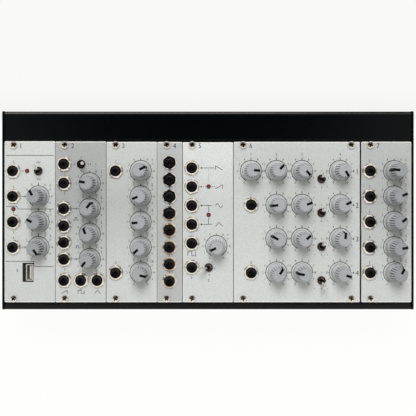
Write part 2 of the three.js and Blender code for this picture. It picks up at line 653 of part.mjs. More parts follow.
for (const slot of slots) {
  const { name } = slot.module;
  const { knobs, toggles } = controlsOf(slot);
  add(`panel_${name}`, frontPanel(slot), BARE_PANEL);
  add(`board_${name}`, moduleBoard(slot), CIRCUIT_GREEN);
  knobs.forEach(({ x, y, setting }, index) => {
    const turn = -THREE.MathUtils.degToRad(setting);
    add(`knob_${name}_${index + 1}`, knobGeometry, KNOB_PLASTIC, [x, y, knobBottom], [0, 0, turn]);
  });
  toggles.forEach(({ x, y, setting }, index) => {
    add(`toggle_${name}_${index + 1}`, leverGeometry, NICKEL, [x, y, togglePivot], LEANS[setting]);
  });
}

export default synthesizer;
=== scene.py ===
# %% [markdown]
# # Dressing a table-top modular synthesizer
# The object is a shallow black case that holds one row of seven silver modules, seen from straight above.
# Its engineering model already exists: sixty solids with true sizes, and a hinge for each knob and lever.
# This lesson loads them as a fixed frame and makes every piece again with the fine shape and the finish
# that the real one has. Nothing is moved or resized, so each new piece is measured from the frame.

# %% Load the frame
import bmesh
import bpy
import json
import math
import random
from mathutils import Matrix, Vector


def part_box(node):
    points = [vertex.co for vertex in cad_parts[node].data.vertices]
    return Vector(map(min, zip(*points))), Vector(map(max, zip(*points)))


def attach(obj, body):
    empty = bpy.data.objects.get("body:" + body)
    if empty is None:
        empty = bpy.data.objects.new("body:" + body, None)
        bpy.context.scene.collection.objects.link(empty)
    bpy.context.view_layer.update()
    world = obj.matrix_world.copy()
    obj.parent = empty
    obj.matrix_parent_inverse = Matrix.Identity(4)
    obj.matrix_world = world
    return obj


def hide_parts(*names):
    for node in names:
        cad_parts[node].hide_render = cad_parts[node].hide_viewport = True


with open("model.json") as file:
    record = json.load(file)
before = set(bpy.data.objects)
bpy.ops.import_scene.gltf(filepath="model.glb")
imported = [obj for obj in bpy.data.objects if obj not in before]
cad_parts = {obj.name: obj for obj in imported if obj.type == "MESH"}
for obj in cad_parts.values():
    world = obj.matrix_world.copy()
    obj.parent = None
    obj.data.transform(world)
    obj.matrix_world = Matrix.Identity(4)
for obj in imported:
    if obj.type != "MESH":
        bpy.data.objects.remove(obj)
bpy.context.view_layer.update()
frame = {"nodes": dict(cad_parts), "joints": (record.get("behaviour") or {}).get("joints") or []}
joints = {joint["child"]: joint for joint in frame["joints"]}
print(f"frame: {len(frame['nodes'])} nodes, {len(joints)} joints")

# %% [markdown]
# ## Drawing in millimetres
# Blender counts in metres here, but a panel maker thinks in millimetres, and mesh tools that fill and bevel
# are steadier when a millimetre is 1 and not 0.001. So every shape is drawn in millimetres as a bmesh, and
# is shrunk once, when the drawing turns into a mesh. Faces that meet at less than an angle are shaded
# smooth, and the rest keep a crisp edge.

# %% Measures, and from a drawing to a mesh
MM = 0.001
# Faces that meet at less than this angle in degrees are shaded smooth, but for those from this area in mm2 on
SMOOTH_BELOW = 35
FLAT_FROM = 10.0


def size_of(node):
    """The lowest and highest corners of a solid in the frame, in millimetres."""
    low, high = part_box(node)
    return low / MM, high / MM


def shaded(mesh, smooth_below):
    """Smooth shading below an angle, but large faces stay flat up to their very edges."""
    mesh.set_sharp_from_angle(angle=math.radians(smooth_below))
    mesh.polygons.foreach_set("use_smooth", [flat.area < FLAT_FROM * MM ** 2 for flat in mesh.polygons])
    return mesh


def faced_outward(drawing):
    bmesh.ops.recalc_face_normals(drawing, faces=drawing.faces[:])


def finished(name, drawing, smooth_below=SMOOTH_BELOW):
    """A mesh in metres from a drawing in millimetres."""
    faced_outward(drawing)
    bmesh.ops.scale(drawing, vec=(MM, MM, MM), verts=drawing.verts[:])
    mesh = bpy.data.meshes.new(name)
    drawing.to_mesh(mesh)
    drawing.free()
    return shaded(mesh, smooth_below)


MODULES = ("controller", "oscillator", "divider", "multiple", "modulator", "filter", "amplifier")
row_low, row_high = size_of("panel_controller")[0], size_of("panel_amplifier")[1]
face, back = row_high.z, row_low.z
print(f"the panels' face is {face:.1f} mm up, the row is {row_high.x - row_low.x:.1f} mm wide")

# %% [markdown]
# ## The camera
# The picture was taken from above the middle of the object. The knobs' tops lean away from one point of the
# picture, which is the point right under the lens, and how far they lean gives the lens's height. The row of
# panels is a little below that point, so the camera keeps looking straight down and its frame is shifted,
# as a view camera's is. The lens follows from the scale that the picture shows on the panels' face.

# %% Camera
IMAGE_SIZE = 416
SENSOR = 36.0
CAMERA_PLACE = Vector((-8.2, 9.6, 532.8))
PIXELS_PER_MM = 1.2528
ROW_MIDDLE_PIXEL = Vector((207.95, 221.75))

lens_data = bpy.data.cameras.new("camera")
lens_data.sensor_width = SENSOR
lens_data.lens = PIXELS_PER_MM * (CAMERA_PLACE.z - face) * SENSOR / IMAGE_SIZE
aside = (row_low.xy + row_high.xy) / 2 - CAMERA_PLACE.xy
lens_data.shift_x = (IMAGE_SIZE / 2 - ROW_MIDDLE_PIXEL.x + PIXELS_PER_MM * aside.x) / IMAGE_SIZE
lens_data.shift_y = (ROW_MIDDLE_PIXEL.y - IMAGE_SIZE / 2 + PIXELS_PER_MM * aside.y) / IMAGE_SIZE
camera = bpy.data.objects.new("camera", lens_data)
camera.location = CAMERA_PLACE * MM
bpy.context.scene.collection.objects.link(camera)
bpy.context.scene.camera = camera
print(f"camera: {lens_data.lens:.1f} mm lens, shift {lens_data.shift_x:.4f}, {lens_data.shift_y:.4f}")

# %% [markdown]
# ## Light and floor
# Product pictures like this one use a big soft lamp and a white sweep. The knobs throw soft shadows toward
# the player, about as long as half their height, so the lamp hangs steeply behind the instrument. The rest
# of the light comes from the world, a little more of it from low down, from the left and from the front,
# because the knobs' left sides are brighter than their right ones. The polished parts show what stands
# around: flat ones are dark, slopes to the front or rear are bright, and slopes to a side are greyer. So
# mirrors see a white room with a long dark ceiling over the camera, a little toward the rear, and they see it
# instead of the lamp. The floor is white to the eye by its own colour, and keeps a little real light for the
# shadow. Behind the instrument its colour turns a touch greyer, with a band of painted shade along the rear
# edge.

# %% World, lamps and floor
AMBIENT = 0.484
# The world's light is this level plus so much for each unit of a direction's x, y and z
AMBIENT_LEVEL = 1.35
AMBIENT_LEAN = (-0.4, -0.15, -0.6)
WHITE = (1, 1, 1, 1)
# The dark ceiling that mirrors see: its middle toward the rear, how much it is drawn out to the sides, and
# its brightness at distances from that middle
CEILING_MIDDLE = (0, 0.17, 0)
CEILING_SHAPE = (0.65, 1, 0)
CEILING = ((0.06, 0.008), (0.12, 0.025), (0.15, 0.06), (0.2, 0.16), (0.28, 0.25), (0.34, 0.38), (0.40, 0.46),
           (0.47, 0.62), (0.56, 0.9), (0.7, 1.0))
# Mirrors see the room darken again low down, at these heights of a direction
LOW_WALLS = ((0.0, 0.25), (0.22, 0.7), (0.34, 1.0))
CEILING_CAST = (1.0, 0.98, 0.94)
FLOOR_SIZE = 6.0
FLOOR_SHADE_SHARE = 0.035
FLOOR_PAPER = (0.82, 0.82, 0.81, 1)
FLOOR_CAST = (1, 1, 0.99)
# How white the paper looks at distances behind the instrument's middle, in metres, with a band of painted
# shade just behind the rear edge
FLOOR_WHITES_AND_SHADE = ((0.0, 1.0), (0.076, 0.995), (0.081, 0.89), (0.11, 0.95))

scene = bpy.context.scene
scene.view_settings.view_transform = "Standard"


def wired(tree, kind, **inputs):
    """A new node with its inputs set, or linked where the value is another node's output."""
    node = tree.nodes.new(kind)
    for name, value in inputs.items():
        socket = node.inputs[int(name[1:]) if name[1:].isdigit() else name.replace("_", " ")]
        if isinstance(value, bpy.types.NodeSocket):
            tree.links.new(value, socket)
        else:
            socket.default_value = value
    return node


def maths(tree, operation, first, second):
    """The output of one sum."""
    node = wired(tree, "ShaderNodeMath", i0=first, i1=second)
    node.operation = operation
    return node.outputs[0]


def vector_maths(tree, operation, first, second=(0, 0, 0), output="Vector"):
    """The vector, or the value, that comes of one sum of vectors."""
    node = wired(tree, "ShaderNodeVectorMath", i0=first, i1=second)
    node.operation = operation
    return node.outputs[output]


def object_place(tree, axis=None):
    """The place in the object in metres, or one coordinate of it."""
    place = tree.nodes.new("ShaderNodeTexCoord").outputs["Object"]
    return wired(tree, "ShaderNodeSeparateXYZ", Vector=place).outputs[axis] if axis else place


def seen_straight(tree):
    """The kinds of a ray, and 1 for one that the camera sends out itself or through glass."""
    kinds = tree.nodes.new("ShaderNodeLightPath").outputs
    return kinds, maths(tree, "MAXIMUM", kinds["Is Camera Ray"], kinds["Is Transmission Ray"])


def ramp(tree, factor, *stops):
    """Colours at positions along a factor from 0 to 1."""
    node = wired(tree, "ShaderNodeValToRGB", Fac=factor)
    elements = node.color_ramp.elements
    while len(elements) < len(stops):
        elements.new(0.5)
    for element, (position, colour) in zip(elements, stops):
        element.position = position
        element.color = (*colour, 1)
    return node.outputs["Color"]


def tinted(stops, cast=(1, 1, 1)):
    """Positions with greys, turned into positions with colours of one cast."""
    return [(position, [shade * tint for tint in cast]) for position, shade in stops]


def part_way(tree, value, low, high):
    """How far a length lies between two others in millimetres, from 0 to 1."""
    node = wired(tree, "ShaderNodeMapRange", Value=value, From_Min=low * MM, From_Max=high * MM)
    return node.outputs["Result"]


def light_world():
    """Plain light on everything, the room with its ceiling in mirrors, and white for the eye."""
    world = bpy.data.worlds.new("studio")
    scene.world = world
    world.use_nodes = True
    tree = world.node_tree
    tree.nodes.clear()
    kinds, straight = seen_straight(tree)
    direction = tree.nodes.new("ShaderNodeTexCoord").outputs["Generated"]
    level = vector_maths(tree, "MULTIPLY", direction, CEILING_SHAPE)
    from_middle = vector_maths(tree, "DISTANCE", level, CEILING_MIDDLE, output="Value")
    ceiling = ramp(tree, from_middle, *tinted(CEILING, CEILING_CAST))
    rise = wired(tree, "ShaderNodeSeparateXYZ", Vector=direction).outputs["Z"]
    walls = ramp(tree, rise, *tinted(LOW_WALLS))
    lean = vector_maths(tree, "DOT_PRODUCT", direction, AMBIENT_LEAN, output="Value")
    strength = maths(tree, "MULTIPLY", maths(tree, "ADD", lean, AMBIENT_LEVEL), AMBIENT)
    seen = wired(tree, "ShaderNodeBackground", Color=WHITE)
    mirrored = wired(tree, "ShaderNodeBackground", Color=ceiling, Strength=walls)
    ambient = wired(tree, "ShaderNodeBackground", Color=WHITE, Strength=strength)
    by_gloss = wired(tree, "ShaderNodeMixShader", i0=kinds["Is Glossy Ray"], i1=ambient.outputs[0],
                     i2=mirrored.outputs[0])
    by_eye = wired(tree, "ShaderNodeMixShader", i0=straight, i1=by_gloss.outputs[0], i2=seen.outputs[0])
    wired(tree, "ShaderNodeOutputWorld", Surface=by_eye.outputs[0])


def soft_lamp(name, azimuth, elevation, distance, size, watts):
    """A square lamp that looks at the middle of the table; azimuth 0 is behind the instrument."""
    light = bpy.data.lights.new(name, "AREA")
    light.size = size
    light.energy = watts
    lamp = bpy.data.objects.new(name, light)
    side, height = math.radians(azimuth), math.radians(elevation)
    away = Vector((math.sin(side) * math.cos(height), math.cos(side) * math.cos(height), math.sin(height)))
    lamp.location = away * distance
    lamp.rotation_euler = away.to_track_quat("Z", "Y").to_euler()
    lamp.visible_glossy = False
    scene.collection.objects.link(lamp)
    return lamp


def floor_finish():
    """Paper that is white to the eye and keeps a little of the real light and shadow, with painted shade
    behind the instrument.
    """
    material = bpy.data.materials.new("pale_floor")
    material.use_nodes = True
    tree = material.node_tree
    tree.nodes.clear()
    kinds, straight = seen_straight(tree)
    seen = maths(tree, "MAXIMUM", straight, kinds["Is Glossy Ray"])
    share = maths(tree, "MULTIPLY", seen, 1 - FLOOR_SHADE_SHARE)
    paper = wired(tree, "ShaderNodeBsdfDiffuse", Color=FLOOR_PAPER)
    # Painted shade: the paper's colour turns greyer just behind the instrument
    tone = ramp(tree, object_place(tree, "Y"), *tinted(FLOOR_WHITES_AND_SHADE, FLOOR_CAST))
    white = wired(tree, "ShaderNodeEmission", Color=tone)
    mixed = wired(tree, "ShaderNodeMixShader", i0=share, i1=paper.outputs[0], i2=white.outputs[0])
    wired(tree, "ShaderNodeOutputMaterial", Surface=mixed.outputs[0])
    return material


light_world()
key = soft_lamp("key_lamp", azimuth=-6, elevation=60, distance=1.3, size=0.55, watts=13)
floor_drawing = bmesh.new()
bmesh.ops.create_grid(floor_drawing, x_segments=1, y_segments=1, size=FLOOR_SIZE / 2 / MM)
floor = bpy.data.objects.new("floor", finished("floor", floor_drawing))
floor.data.materials.append(floor_finish())
scene.collection.objects.link(floor)
print(f"light: world {AMBIENT}, {key.name} {key.data.energy} W")

# %% [markdown]
# ## Finishes
# Every surface gets one Principled shader. What makes it look real is small: the colour wanders between
# two near tones in grains of the true size, the gloss changes a little from place to place, and the same
# grain stands up as a fine bump. One function builds that for all finishes, with sizes in millimetres.
# Noise in object space needs no unwrapping and stays put when a piece moves.

# %% One function for all finishes
# The colour of a finish until a function of its own gives it another
UNPAINTED = (1, 1, 1)


def grain(tree, size, detail=2.0):
    """Noise whose patches are about size millimetres wide."""
    noise = wired(tree, "ShaderNodeTexNoise", Vector=object_place(tree), Scale=1 / (size * MM), Detail=detail)
    return noise.outputs["Fac"]


def finish(name, dark, light, roughness, metallic=0.0, specular=0.5, size=0.4, bump=0.004, coat=0.0,
           gloss_change=0.06, gloss_size=6.0):
    """A finish whose colour wanders from dark to light in grains of one size, with the same grain raised."""
    material = bpy.data.materials.new(name)
    material.use_nodes = True
    tree = material.node_tree
    shader = tree.nodes["Principled BSDF"]
    shader.inputs["Metallic"].default_value = metallic
    shader.inputs["Specular IOR Level"].default_value = specular
    shader.inputs["Coat Weight"].default_value = coat
    fine = grain(tree, size)
    tree.links.new(ramp(tree, fine, (0.3, dark), (0.7, light)), shader.inputs["Base Color"])
    change = wired(tree, "ShaderNodeMapRange", Value=grain(tree, gloss_size),
                   To_Min=roughness - gloss_change, To_Max=roughness + gloss_change)
    tree.links.new(change.outputs["Result"], shader.inputs["Roughness"])
    raised = wired(tree, "ShaderNodeBump", Height=fine, Strength=1.0, Distance=bump * MM)
    tree.links.new(raised.outputs["Normal"], shader.inputs["Normal"])
    return material


def recoloured(material, colour):
    """The material with a colour of its own in the place of the two tones."""
    tree = material.node_tree
    tree.links.new(colour, tree.nodes["Principled BSDF"].inputs["Base Color"])
    return material


# %% [markdown]
# ### Plain finishes
# The case is powder coated: almost black, slightly rough, with a fine orange peel and very little shine, and
# its cheeks are duller still. Nuts and washers are nickel with a warm cast, the levers a greyer one, and the
# switches' bushes are of a darker, smoked or black one. The panels' cut edges are bare aluminium. The
# printing is a thin coat of dull black ink.

# %% Plain finishes
POWDER_COAT = finish("powder_coat", (0.0005, 0.0010, 0.0015), (0.0012, 0.0018, 0.0024),
                     roughness=0.13, specular=0.45, size=0.5, bump=0.001, gloss_change=0.02)
CHEEK_COAT = finish("cheek_coat", (0.0004, 0.0005, 0.0006), (0.0009, 0.0010, 0.0011),
                    roughness=0.35, specular=0.12, size=0.5, bump=0.001, gloss_change=0.03)
RUBBER = finish("rubber", (0.012, 0.012, 0.012), (0.02, 0.02, 0.02), roughness=0.85,
                specular=0.2, size=0.5, bump=0.02)
POINTER_BLACK = finish("pointer_black", (0.001, 0.001, 0.001), (0.003, 0.003, 0.003),
                       roughness=0.5, specular=0.15, size=0.4)
NICKEL = finish("nickel", (0.82, 0.785, 0.69), (0.92, 0.89, 0.80), roughness=0.16,
                metallic=1.0, size=0.8, bump=0.001, gloss_change=0.04, gloss_size=2.0)
TINNED_STEEL = finish("tinned_steel", (0.66, 0.62, 0.55), (0.84, 0.81, 0.74), roughness=0.3,
                      metallic=0.5, size=1.5, bump=0.002)
PALE_PLASTIC = finish("pale_plastic", (0.50, 0.47, 0.42), (0.72, 0.69, 0.63), roughness=0.4,
                      size=1.2, bump=0.002)
BARE_EDGE = finish("bare_edge", (0.9, 0.91, 0.9), (0.97, 0.97, 0.95), roughness=0.3,
                   metallic=0.6, size=0.5, bump=0.001)
SMOKED_NICKEL = finish("smoked_nickel", (0.13, 0.10, 0.08), (0.30, 0.25, 0.20),
                       roughness=0.16, metallic=1.0, size=0.8, bump=0.001, gloss_size=2.0)
BLACK_NICKEL = finish("black_nickel", (0.02, 0.02, 0.02), (0.06, 0.055, 0.05),
                      roughness=0.2, metallic=1.0, size=0.8, bump=0.001, gloss_size=2.0)
BLACK_PLASTIC = finish("black_plastic", (0.010, 0.010, 0.011), (0.017, 0.017, 0.018),
                       roughness=0.38, specular=0.4, size=0.3, bump=0.003)
BUSH_PLASTIC = finish("bush_plastic", (0.001, 0.001, 0.0015), (0.003, 0.003, 0.004),
                      roughness=0.15, specular=0.3, size=0.3, bump=0.0005, gloss_change=0.03)
INK = finish("ink", (0.006, 0.007, 0.008), (0.016, 0.017, 0.018), roughness=0.6,
             specular=0.2, size=0.25, bump=0.002)
RED_LENS = finish("red_lens", (0.13, 0.003, 0.003), (0.19, 0.005, 0.004), roughness=0.12,
                  specular=0.5, size=1.0, bump=0.0, gloss_change=0.03, coat=0.5)
CIRCUIT = finish("circuit_green", (0.010, 0.055, 0.028), (0.016, 0.085, 0.042),
                 roughness=0.35, specular=0.5, size=1.2, bump=0.01, coat=0.3)
RIBBON_GREY = finish("ribbon_grey", (0.30, 0.31, 0.32), (0.36, 0.37, 0.38), roughness=0.5,
                     specular=0.4, size=0.8)
SOLDER = finish("solder", (0.55, 0.56, 0.58), (0.75, 0.76, 0.78), roughness=0.25,
                metallic=1.0, size=0.5)

# %% [markdown]
# ### Moulded knobs
# The knobs are cool grey moulded plastic, of another batch in each module. Their flat tops get less light
# than the fluted sides, which the light reaches from all round, so a painted shade makes the tops a quarter
# darker: the colour steps down at the height of the top, read from the place in the knob. Painted shade in
# the flutes makes the colour also fall with the depth below the grip's cone.

# %% Knob finishes
# The linear brightness of the knobs' sides in each module, and how much it wanders in the moulded grain
KNOB_TONES = {"controller": 0.42, "oscillator": 0.445, "divider": 0.49, "modulator": 0.565, "filter": 0.52,
              "amplifier": 0.415}
KNOB_CAST = (0.985, 1.0, 1.02)
KNOB_GRAIN = 0.12
KNOB_GRAIN_SIZE = 0.7
KNOB_HEIGHT = 16.0
SKIRT_HEIGHT = 6.0
KNOB_GRIP = 6.3
KNOB_TOP = 5.45
KNOB_TAPER = (KNOB_GRIP - KNOB_TOP) / (KNOB_HEIGHT - SKIRT_HEIGHT)
# The painted shade on the flat tops, as a share of the sides' tone
TOP_SHADE_SHARE = 0.73
# The depths below the top between which its painted shade turns into the side's tone
TOP_SHADE_DEPTHS = (0.25, 0.01)
# The painted shade in the flutes, from none to its deepest
FLUTE_SHADE_SHARES = (1.0, 0.62)
# The depths below the grip's cone between which a flute's shade comes in
FLUTE_SHADE_DEPTHS = (0.05, 0.6)


def mixed_colours(tree, first, second):
    """The product of two colours."""
    node = tree.nodes.new("ShaderNodeMix")
    node.data_type = "RGBA"
    node.blend_type = "MULTIPLY"
    node.inputs["Factor"].default_value = 1.0
    tree.links.new(first, node.inputs[6])
    tree.links.new(second, node.inputs[7])
    return node.outputs[2]


def knob_finish(module):
    """Moulded plastic in a module's grey, with painted shade on the flat top and down in the flutes."""
    tone = KNOB_TONES[module]
    material = finish(f"grey_plastic_{module}", UNPAINTED, UNPAINTED, roughness=0.45,
                      specular=0.35, size=KNOB_GRAIN_SIZE, bump=0.008)
    tree = material.node_tree
    shades = ((0.3, tone * (1 - KNOB_GRAIN)), (0.7, tone * (1 + KNOB_GRAIN)))
    plastic = ramp(tree, grain(tree, KNOB_GRAIN_SIZE), *tinted(shades, KNOB_CAST))
    # Painted shade on the flat top
    top_shade_mask = part_way(tree, object_place(tree, "Z"), *(KNOB_HEIGHT - depth for depth in TOP_SHADE_DEPTHS))
    top = ramp(tree, top_shade_mask, *tinted(enumerate((1, TOP_SHADE_SHARE))))
    # Painted shade down in the flutes, by the depth below the grip's cone
    level = vector_maths(tree, "MULTIPLY", object_place(tree), (1, 1, 0))
    radius = vector_maths(tree, "LENGTH", level, output="Value")
    inward = maths(tree, "MULTIPLY", object_place(tree, "Z"), -KNOB_TAPER)
    cone = maths(tree, "ADD", inward, (KNOB_GRIP + KNOB_TAPER * SKIRT_HEIGHT) * MM)
    sunk = part_way(tree, maths(tree, "SUBTRACT", cone, radius), *FLUTE_SHADE_DEPTHS)
    flute = ramp(tree, maths(tree, "MULTIPLY", sunk, maths(tree, "SUBTRACT", 1.0, top_shade_mask)),
                 *tinted(enumerate(FLUTE_SHADE_SHARES)))
    return recoloured(material, mixed_colours(tree, mixed_colours(tree, plastic, top), flute))


KNOB_PLASTICS = {module: knob_finish(module) for module in KNOB_TONES}
print(f"knob finishes: {len(KNOB_PLASTICS)}, tops at {TOP_SHADE_SHARE} of the sides")

# %% [markdown]
# ### Anodised panels
# The panels are aluminium, blasted and anodised: a pale grey with a fine sparkle. No two of them were dyed
# alike, and painted light and shade make some darker at the rear or in the middle, so each panel has three
# tones and a soft fade from one to the next along its length. The fade is read from the place in the object,
# with the panel's own ends as its limits. Some of the look is metal, and most is the milky oxide on it.

# %% Panel finishes
# The linear brightness of each panel toward its front end, in the middle and toward its rear end: its own
# tone with painted light and shade in it
PANEL_TONES_AND_SHADE = {
    "controller": (0.64, 0.65, 0.65), "oscillator": (0.635, 0.437, 0.437), "divider": (0.66, 0.525, 0.595),
    "multiple": (0.52, 0.52, 0.52), "modulator": (0.683, 0.635, 0.72), "filter": (0.69, 0.63, 0.60),
    "amplifier": (0.66, 0.50, 0.517),
}
PANEL_TONE_SHARES = (0.2, 0.62, 0.9)
PANEL_CAST = (0.99, 1.01, 0.985)
SPARKLE = 0.094
SPARKLE_SIZE = 0.65
PANEL_METALLIC = 0.2


def along_row(tree):
    """How far a place lies from the panels' front end to their rear end, from 0 to 1."""
    return part_way(tree, object_place(tree, "Y"), row_low.y, row_high.y)


def panel_finish(module):
    """Blasted, anodised aluminium with its own three tones, which hold painted light and shade along its
    length.
    """
    material = finish(f"anodised_{module}", UNPAINTED, UNPAINTED, roughness=0.55,
                      metallic=PANEL_METALLIC, specular=0.3, size=SPARKLE_SIZE, bump=0.004, gloss_change=0)
    tree = material.node_tree
    # The panel's own tone with painted light and shade along its length
    tone = ramp(tree, along_row(tree), *tinted(zip(PANEL_TONE_SHARES, PANEL_TONES_AND_SHADE[module]), PANEL_CAST))
    specks = tinted(((0.32, 1 - SPARKLE), (0.68, 1 + SPARKLE)))
    speck = ramp(tree, grain(tree, SPARKLE_SIZE, detail=3), *specks)
    return recoloured(material, mixed_colours(tree, tone, speck))


PANEL_FINISHES = {module: panel_finish(module) for module in MODULES}
print(f"panel finishes: {len(PANEL_FINISHES)}")

# %% [markdown]
# ## Making pieces
# A piece is a mesh with a finish that rides on one body of the frame. Most hardware repeats, so one mesh
# is made once and then copied to all its places, either as one piece per module, such as the sockets of a
# module, or as a mesh shared by many objects, such as the knobs. Places are given in millimetres.

# %% Pieces, places and copies
made = []


def add_piece(name, mesh, material, body="case", replaces=(), at=None):
    """An object that shows a mesh with a finish and rides on a body."""
    if not mesh.materials:
        mesh.materials.append(material)
    piece = bpy.data.objects.new(name, mesh)
    piece.matrix_world = at or Matrix.Identity(4)
    scene.collection.objects.link(piece)
    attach(piece, body)
    if replaces:
        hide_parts(*replaces)
    made.append(piece)
    return piece


def add_drawn(name, drawing, material, **place):
    """A piece straight from a drawing."""
    return add_piece(name, finished(name, drawing), material, **place)


def placed(x, y, z, turn=0.0, axis="Z"):
    """A matrix in metres for a place in millimetres and a turn in radians."""
    return Matrix.Translation(Vector((x, y, z)) * MM) @ Matrix.Rotation(turn, 4, axis)


def stamp(drawing, mesh, matrix):
    """Adds a copy of a mesh to a drawing."""
    copy = mesh.copy()
    copy.transform(matrix)
    drawing.from_mesh(copy)
    bpy.data.meshes.remove(copy)


def copies(name, pairs):
    """One mesh made of copies; each pair is a mesh and a matrix."""
    whole = bmesh.new()
    for mesh, matrix in pairs:
        stamp(whole, mesh, matrix)
    joined = bpy.data.meshes.new(name)
    whole.to_mesh(joined)
    whole.free()
    return joined


def add_copies(name, meshes, places, material):
    """One piece of the case, made of all the meshes at each of the places."""
    return add_piece(name, copies(name, [(mesh, place) for place in places for mesh in meshes]), material)


# %% [markdown]
# ### Three ways to a solid
# Lathe work, such as bushes, nuts and knobs, starts as a list of radius and height. A function may change
# the radius with the angle, which turns a round blank into a hexagon nut or cuts the flutes of a knob.
# Sheet and rails are an outline run along one axis. Boxes are what is left, and most of them get their
# sharp edges broken, because a perfectly sharp edge never catches light as a real one does. Turned, swept
# and extruded shapes are all rings of corners with a skin of faces over them, so one function makes the skin.

# %% Turned, extruded and box shapes
ROUND = 48


def arc(middle, radius, start, end, steps=8):
    """Points on a circle between two angles in degrees."""
    angles = (math.radians(start + (end - start) * step / steps) for step in range(steps + 1))
    return [(middle[0] + radius * math.cos(angle), middle[1] + radius * math.sin(angle)) for angle in angles]


def skin(drawing, rings, looped=False):
    """Faces from each ring of corners to the next; the two ends are closed, or meet each other in a loop."""
    rings = [[drawing.verts.new(corner) for corner in ring] for ring in rings]
    if not looped:
        drawing.faces.new(rings[0])
        drawing.faces.new(rings[-1][::-1])
    for low, high in zip(rings, rings[1:] + (rings[:1] if looped else [])):
        for index in range(len(low)):
            after = (index + 1) % len(low)
            drawing.faces.new((low[index], low[after], high[after], high[index]))


def turned(name, profile, sides=ROUND, shape=None, smooth_below=SMOOTH_BELOW):
    """A solid turned about Z. A profile that ends where it starts makes a ring, others get flat ends."""
    ring_like = profile[0] == profile[-1]
    rings = []
    for radius, height in profile[:-1] if ring_like else profile:
        ring = []
        for side in range(sides):
            angle = math.tau * side / sides
            reach = shape(radius, height, angle) if shape else radius
            ring.append((reach * math.cos(angle), reach * math.sin(angle), height))
        rings.append(ring)
    drawing = bmesh.new()
    skin(drawing, rings, looped=ring_like)
    return finished(name, drawing, smooth_below)


def broken_edges(drawing, width, sharper_than=50, segments=2):
    """Rounds every edge that is sharper than an angle."""
    edges = [edge for edge in drawing.edges
             if edge.is_manifold and edge.calc_face_angle() > math.radians(sharper_than)]
    bmesh.ops.bevel(drawing, geom=edges, offset=width, segments=segments, affect="EDGES", profile=0.5,
                    clamp_overlap=True)


def block(drawing, low, high, edge=0.0, segments=2):
    """A box between two corners, with its edges rounded."""
    low, high = Vector(low), Vector(high)
    matrix = Matrix.Translation((low + high) / 2) @ Matrix.Diagonal((*(high - low), 1))
    made_verts = bmesh.ops.create_cube(drawing, size=1, matrix=matrix)["verts"]
    if edge:
        edges = list({link for vert in made_verts for link in vert.link_edges})
        bmesh.ops.bevel(drawing, geom=edges, offset=edge, segments=segments, affect="EDGES", profile=0.5)


def slab(drawing, middle, size, low, high, edge=0.0, segments=2):
    """A box of a size about a middle, between two levels."""
    (x, y), half = middle, Vector(size) / 2
    block(drawing, (x - half.x, y - half.y, low), (x + half.x, y + half.y, high), edge, segments)


def cut(mesh, *cutters):
    """The mesh with other meshes cut out of it."""
    body = bpy.data.objects.new("body", mesh)
    scene.collection.objects.link(body)
    tools = []
    for index, cutter in enumerate(cutters):
        tool = bpy.data.objects.new(f"tool_{index}", cutter)
        scene.collection.objects.link(tool)
        modifier = body.modifiers.new(tool.name, "BOOLEAN")
        modifier.operation = "DIFFERENCE"
        modifier.solver = "EXACT"
        modifier.object = tool
        tools.append(tool)
    graph = bpy.context.evaluated_depsgraph_get()
    result = bpy.data.meshes.new_from_object(body.evaluated_get(graph))
    for unused in (body, *tools):
        bpy.data.objects.remove(unused)
    return shaded(result, SMOOTH_BELOW)


print(f"shapes: {ROUND} sides on round work")

# %% [markdown]
# ## Reading the controls from the panels
# The frame's panels already have a hole for each control, as polygons. Their outlines are found on the
# panel's upper face: an edge with only one upper face beside it belongs to a rim, and walking from edge to
# edge gives one loop for each hole. The mean distance from the middle tells a socket's hole from a
# screw's. So every socket, light and screw sits where the frame says, and none is typed in by hand.

# %% Find every hole
# The corner radius of each kind of hole in the frame
HOLE_RADII = {"screw": 1.7, "light": 1.95, "toggle": 3.58, "jack": 4.87, "pot": 5.47}
PORT_CORNERS = 4


def rim_loops(node):
    """The loops of corners round the upper face of a flat plate, in millimetres."""
    plate = bmesh.new()
    plate.from_mesh(frame["nodes"][node].data)
    bmesh.ops.remove_doubles(plate, verts=plate.verts[:], dist=0.001 * MM)
    upper = {flat for flat in plate.faces if flat.normal.z > 0.9}
    rim = {edge for edge in plate.edges if len(upper.intersection(edge.link_faces)) == 1}
    loops = []
    while rim:
        edge = rim.pop()
        start, corner = edge.verts
        loop = [corner]
        while corner is not start:
            edge = next(link for link in corner.link_edges if link in rim)
            rim.remove(edge)
            corner = edge.other_vert(corner)
            loop.append(corner)
        loops.append([vert.co.xy / MM for vert in loop])
    plate.free()
    return loops


def controls_of(module):
    """The middles of a panel's holes by kind, each list from the rear to the front, then left to right."""
    low, high = size_of(f"panel_{module}")
    found = {kind: [] for kind in (*HOLE_RADII, "port")}
    for loop in rim_loops(f"panel_{module}"):
        middle = sum(loop, Vector((0, 0))) / len(loop)
        radius = sum((corner - middle).length for corner in loop) / len(loop)
        if len(loop) == PORT_CORNERS:
            if radius < (high - low).xy.length / 3:
                found["port"].append(middle)
            continue
        kind = min(HOLE_RADII, key=lambda name: abs(HOLE_RADII[name] - radius))
        found[kind].append(middle)
    for places in found.values():
        places.sort(key=lambda place: (-round(place.y), place.x))
    return found


controls = {module: controls_of(module) for module in MODULES}
for module, found in controls.items():
    print(module, {kind: len(places) for kind, places in found.items() if places})

# %% [markdown]
# ## Panels
# A panel is a 2 mm plate with round holes, so its outline and its holes are drawn as rings of edges and
# filled in one go, which a Boolean would do more slowly and less cleanly. The plate is then made thick, its
# outer rim gets a chamfer that shines as bare metal, and the holes are broken by a tenth of a millimetre, as
# deburring does. The seams in the row differ, because some panels are cut a little shorter than others.

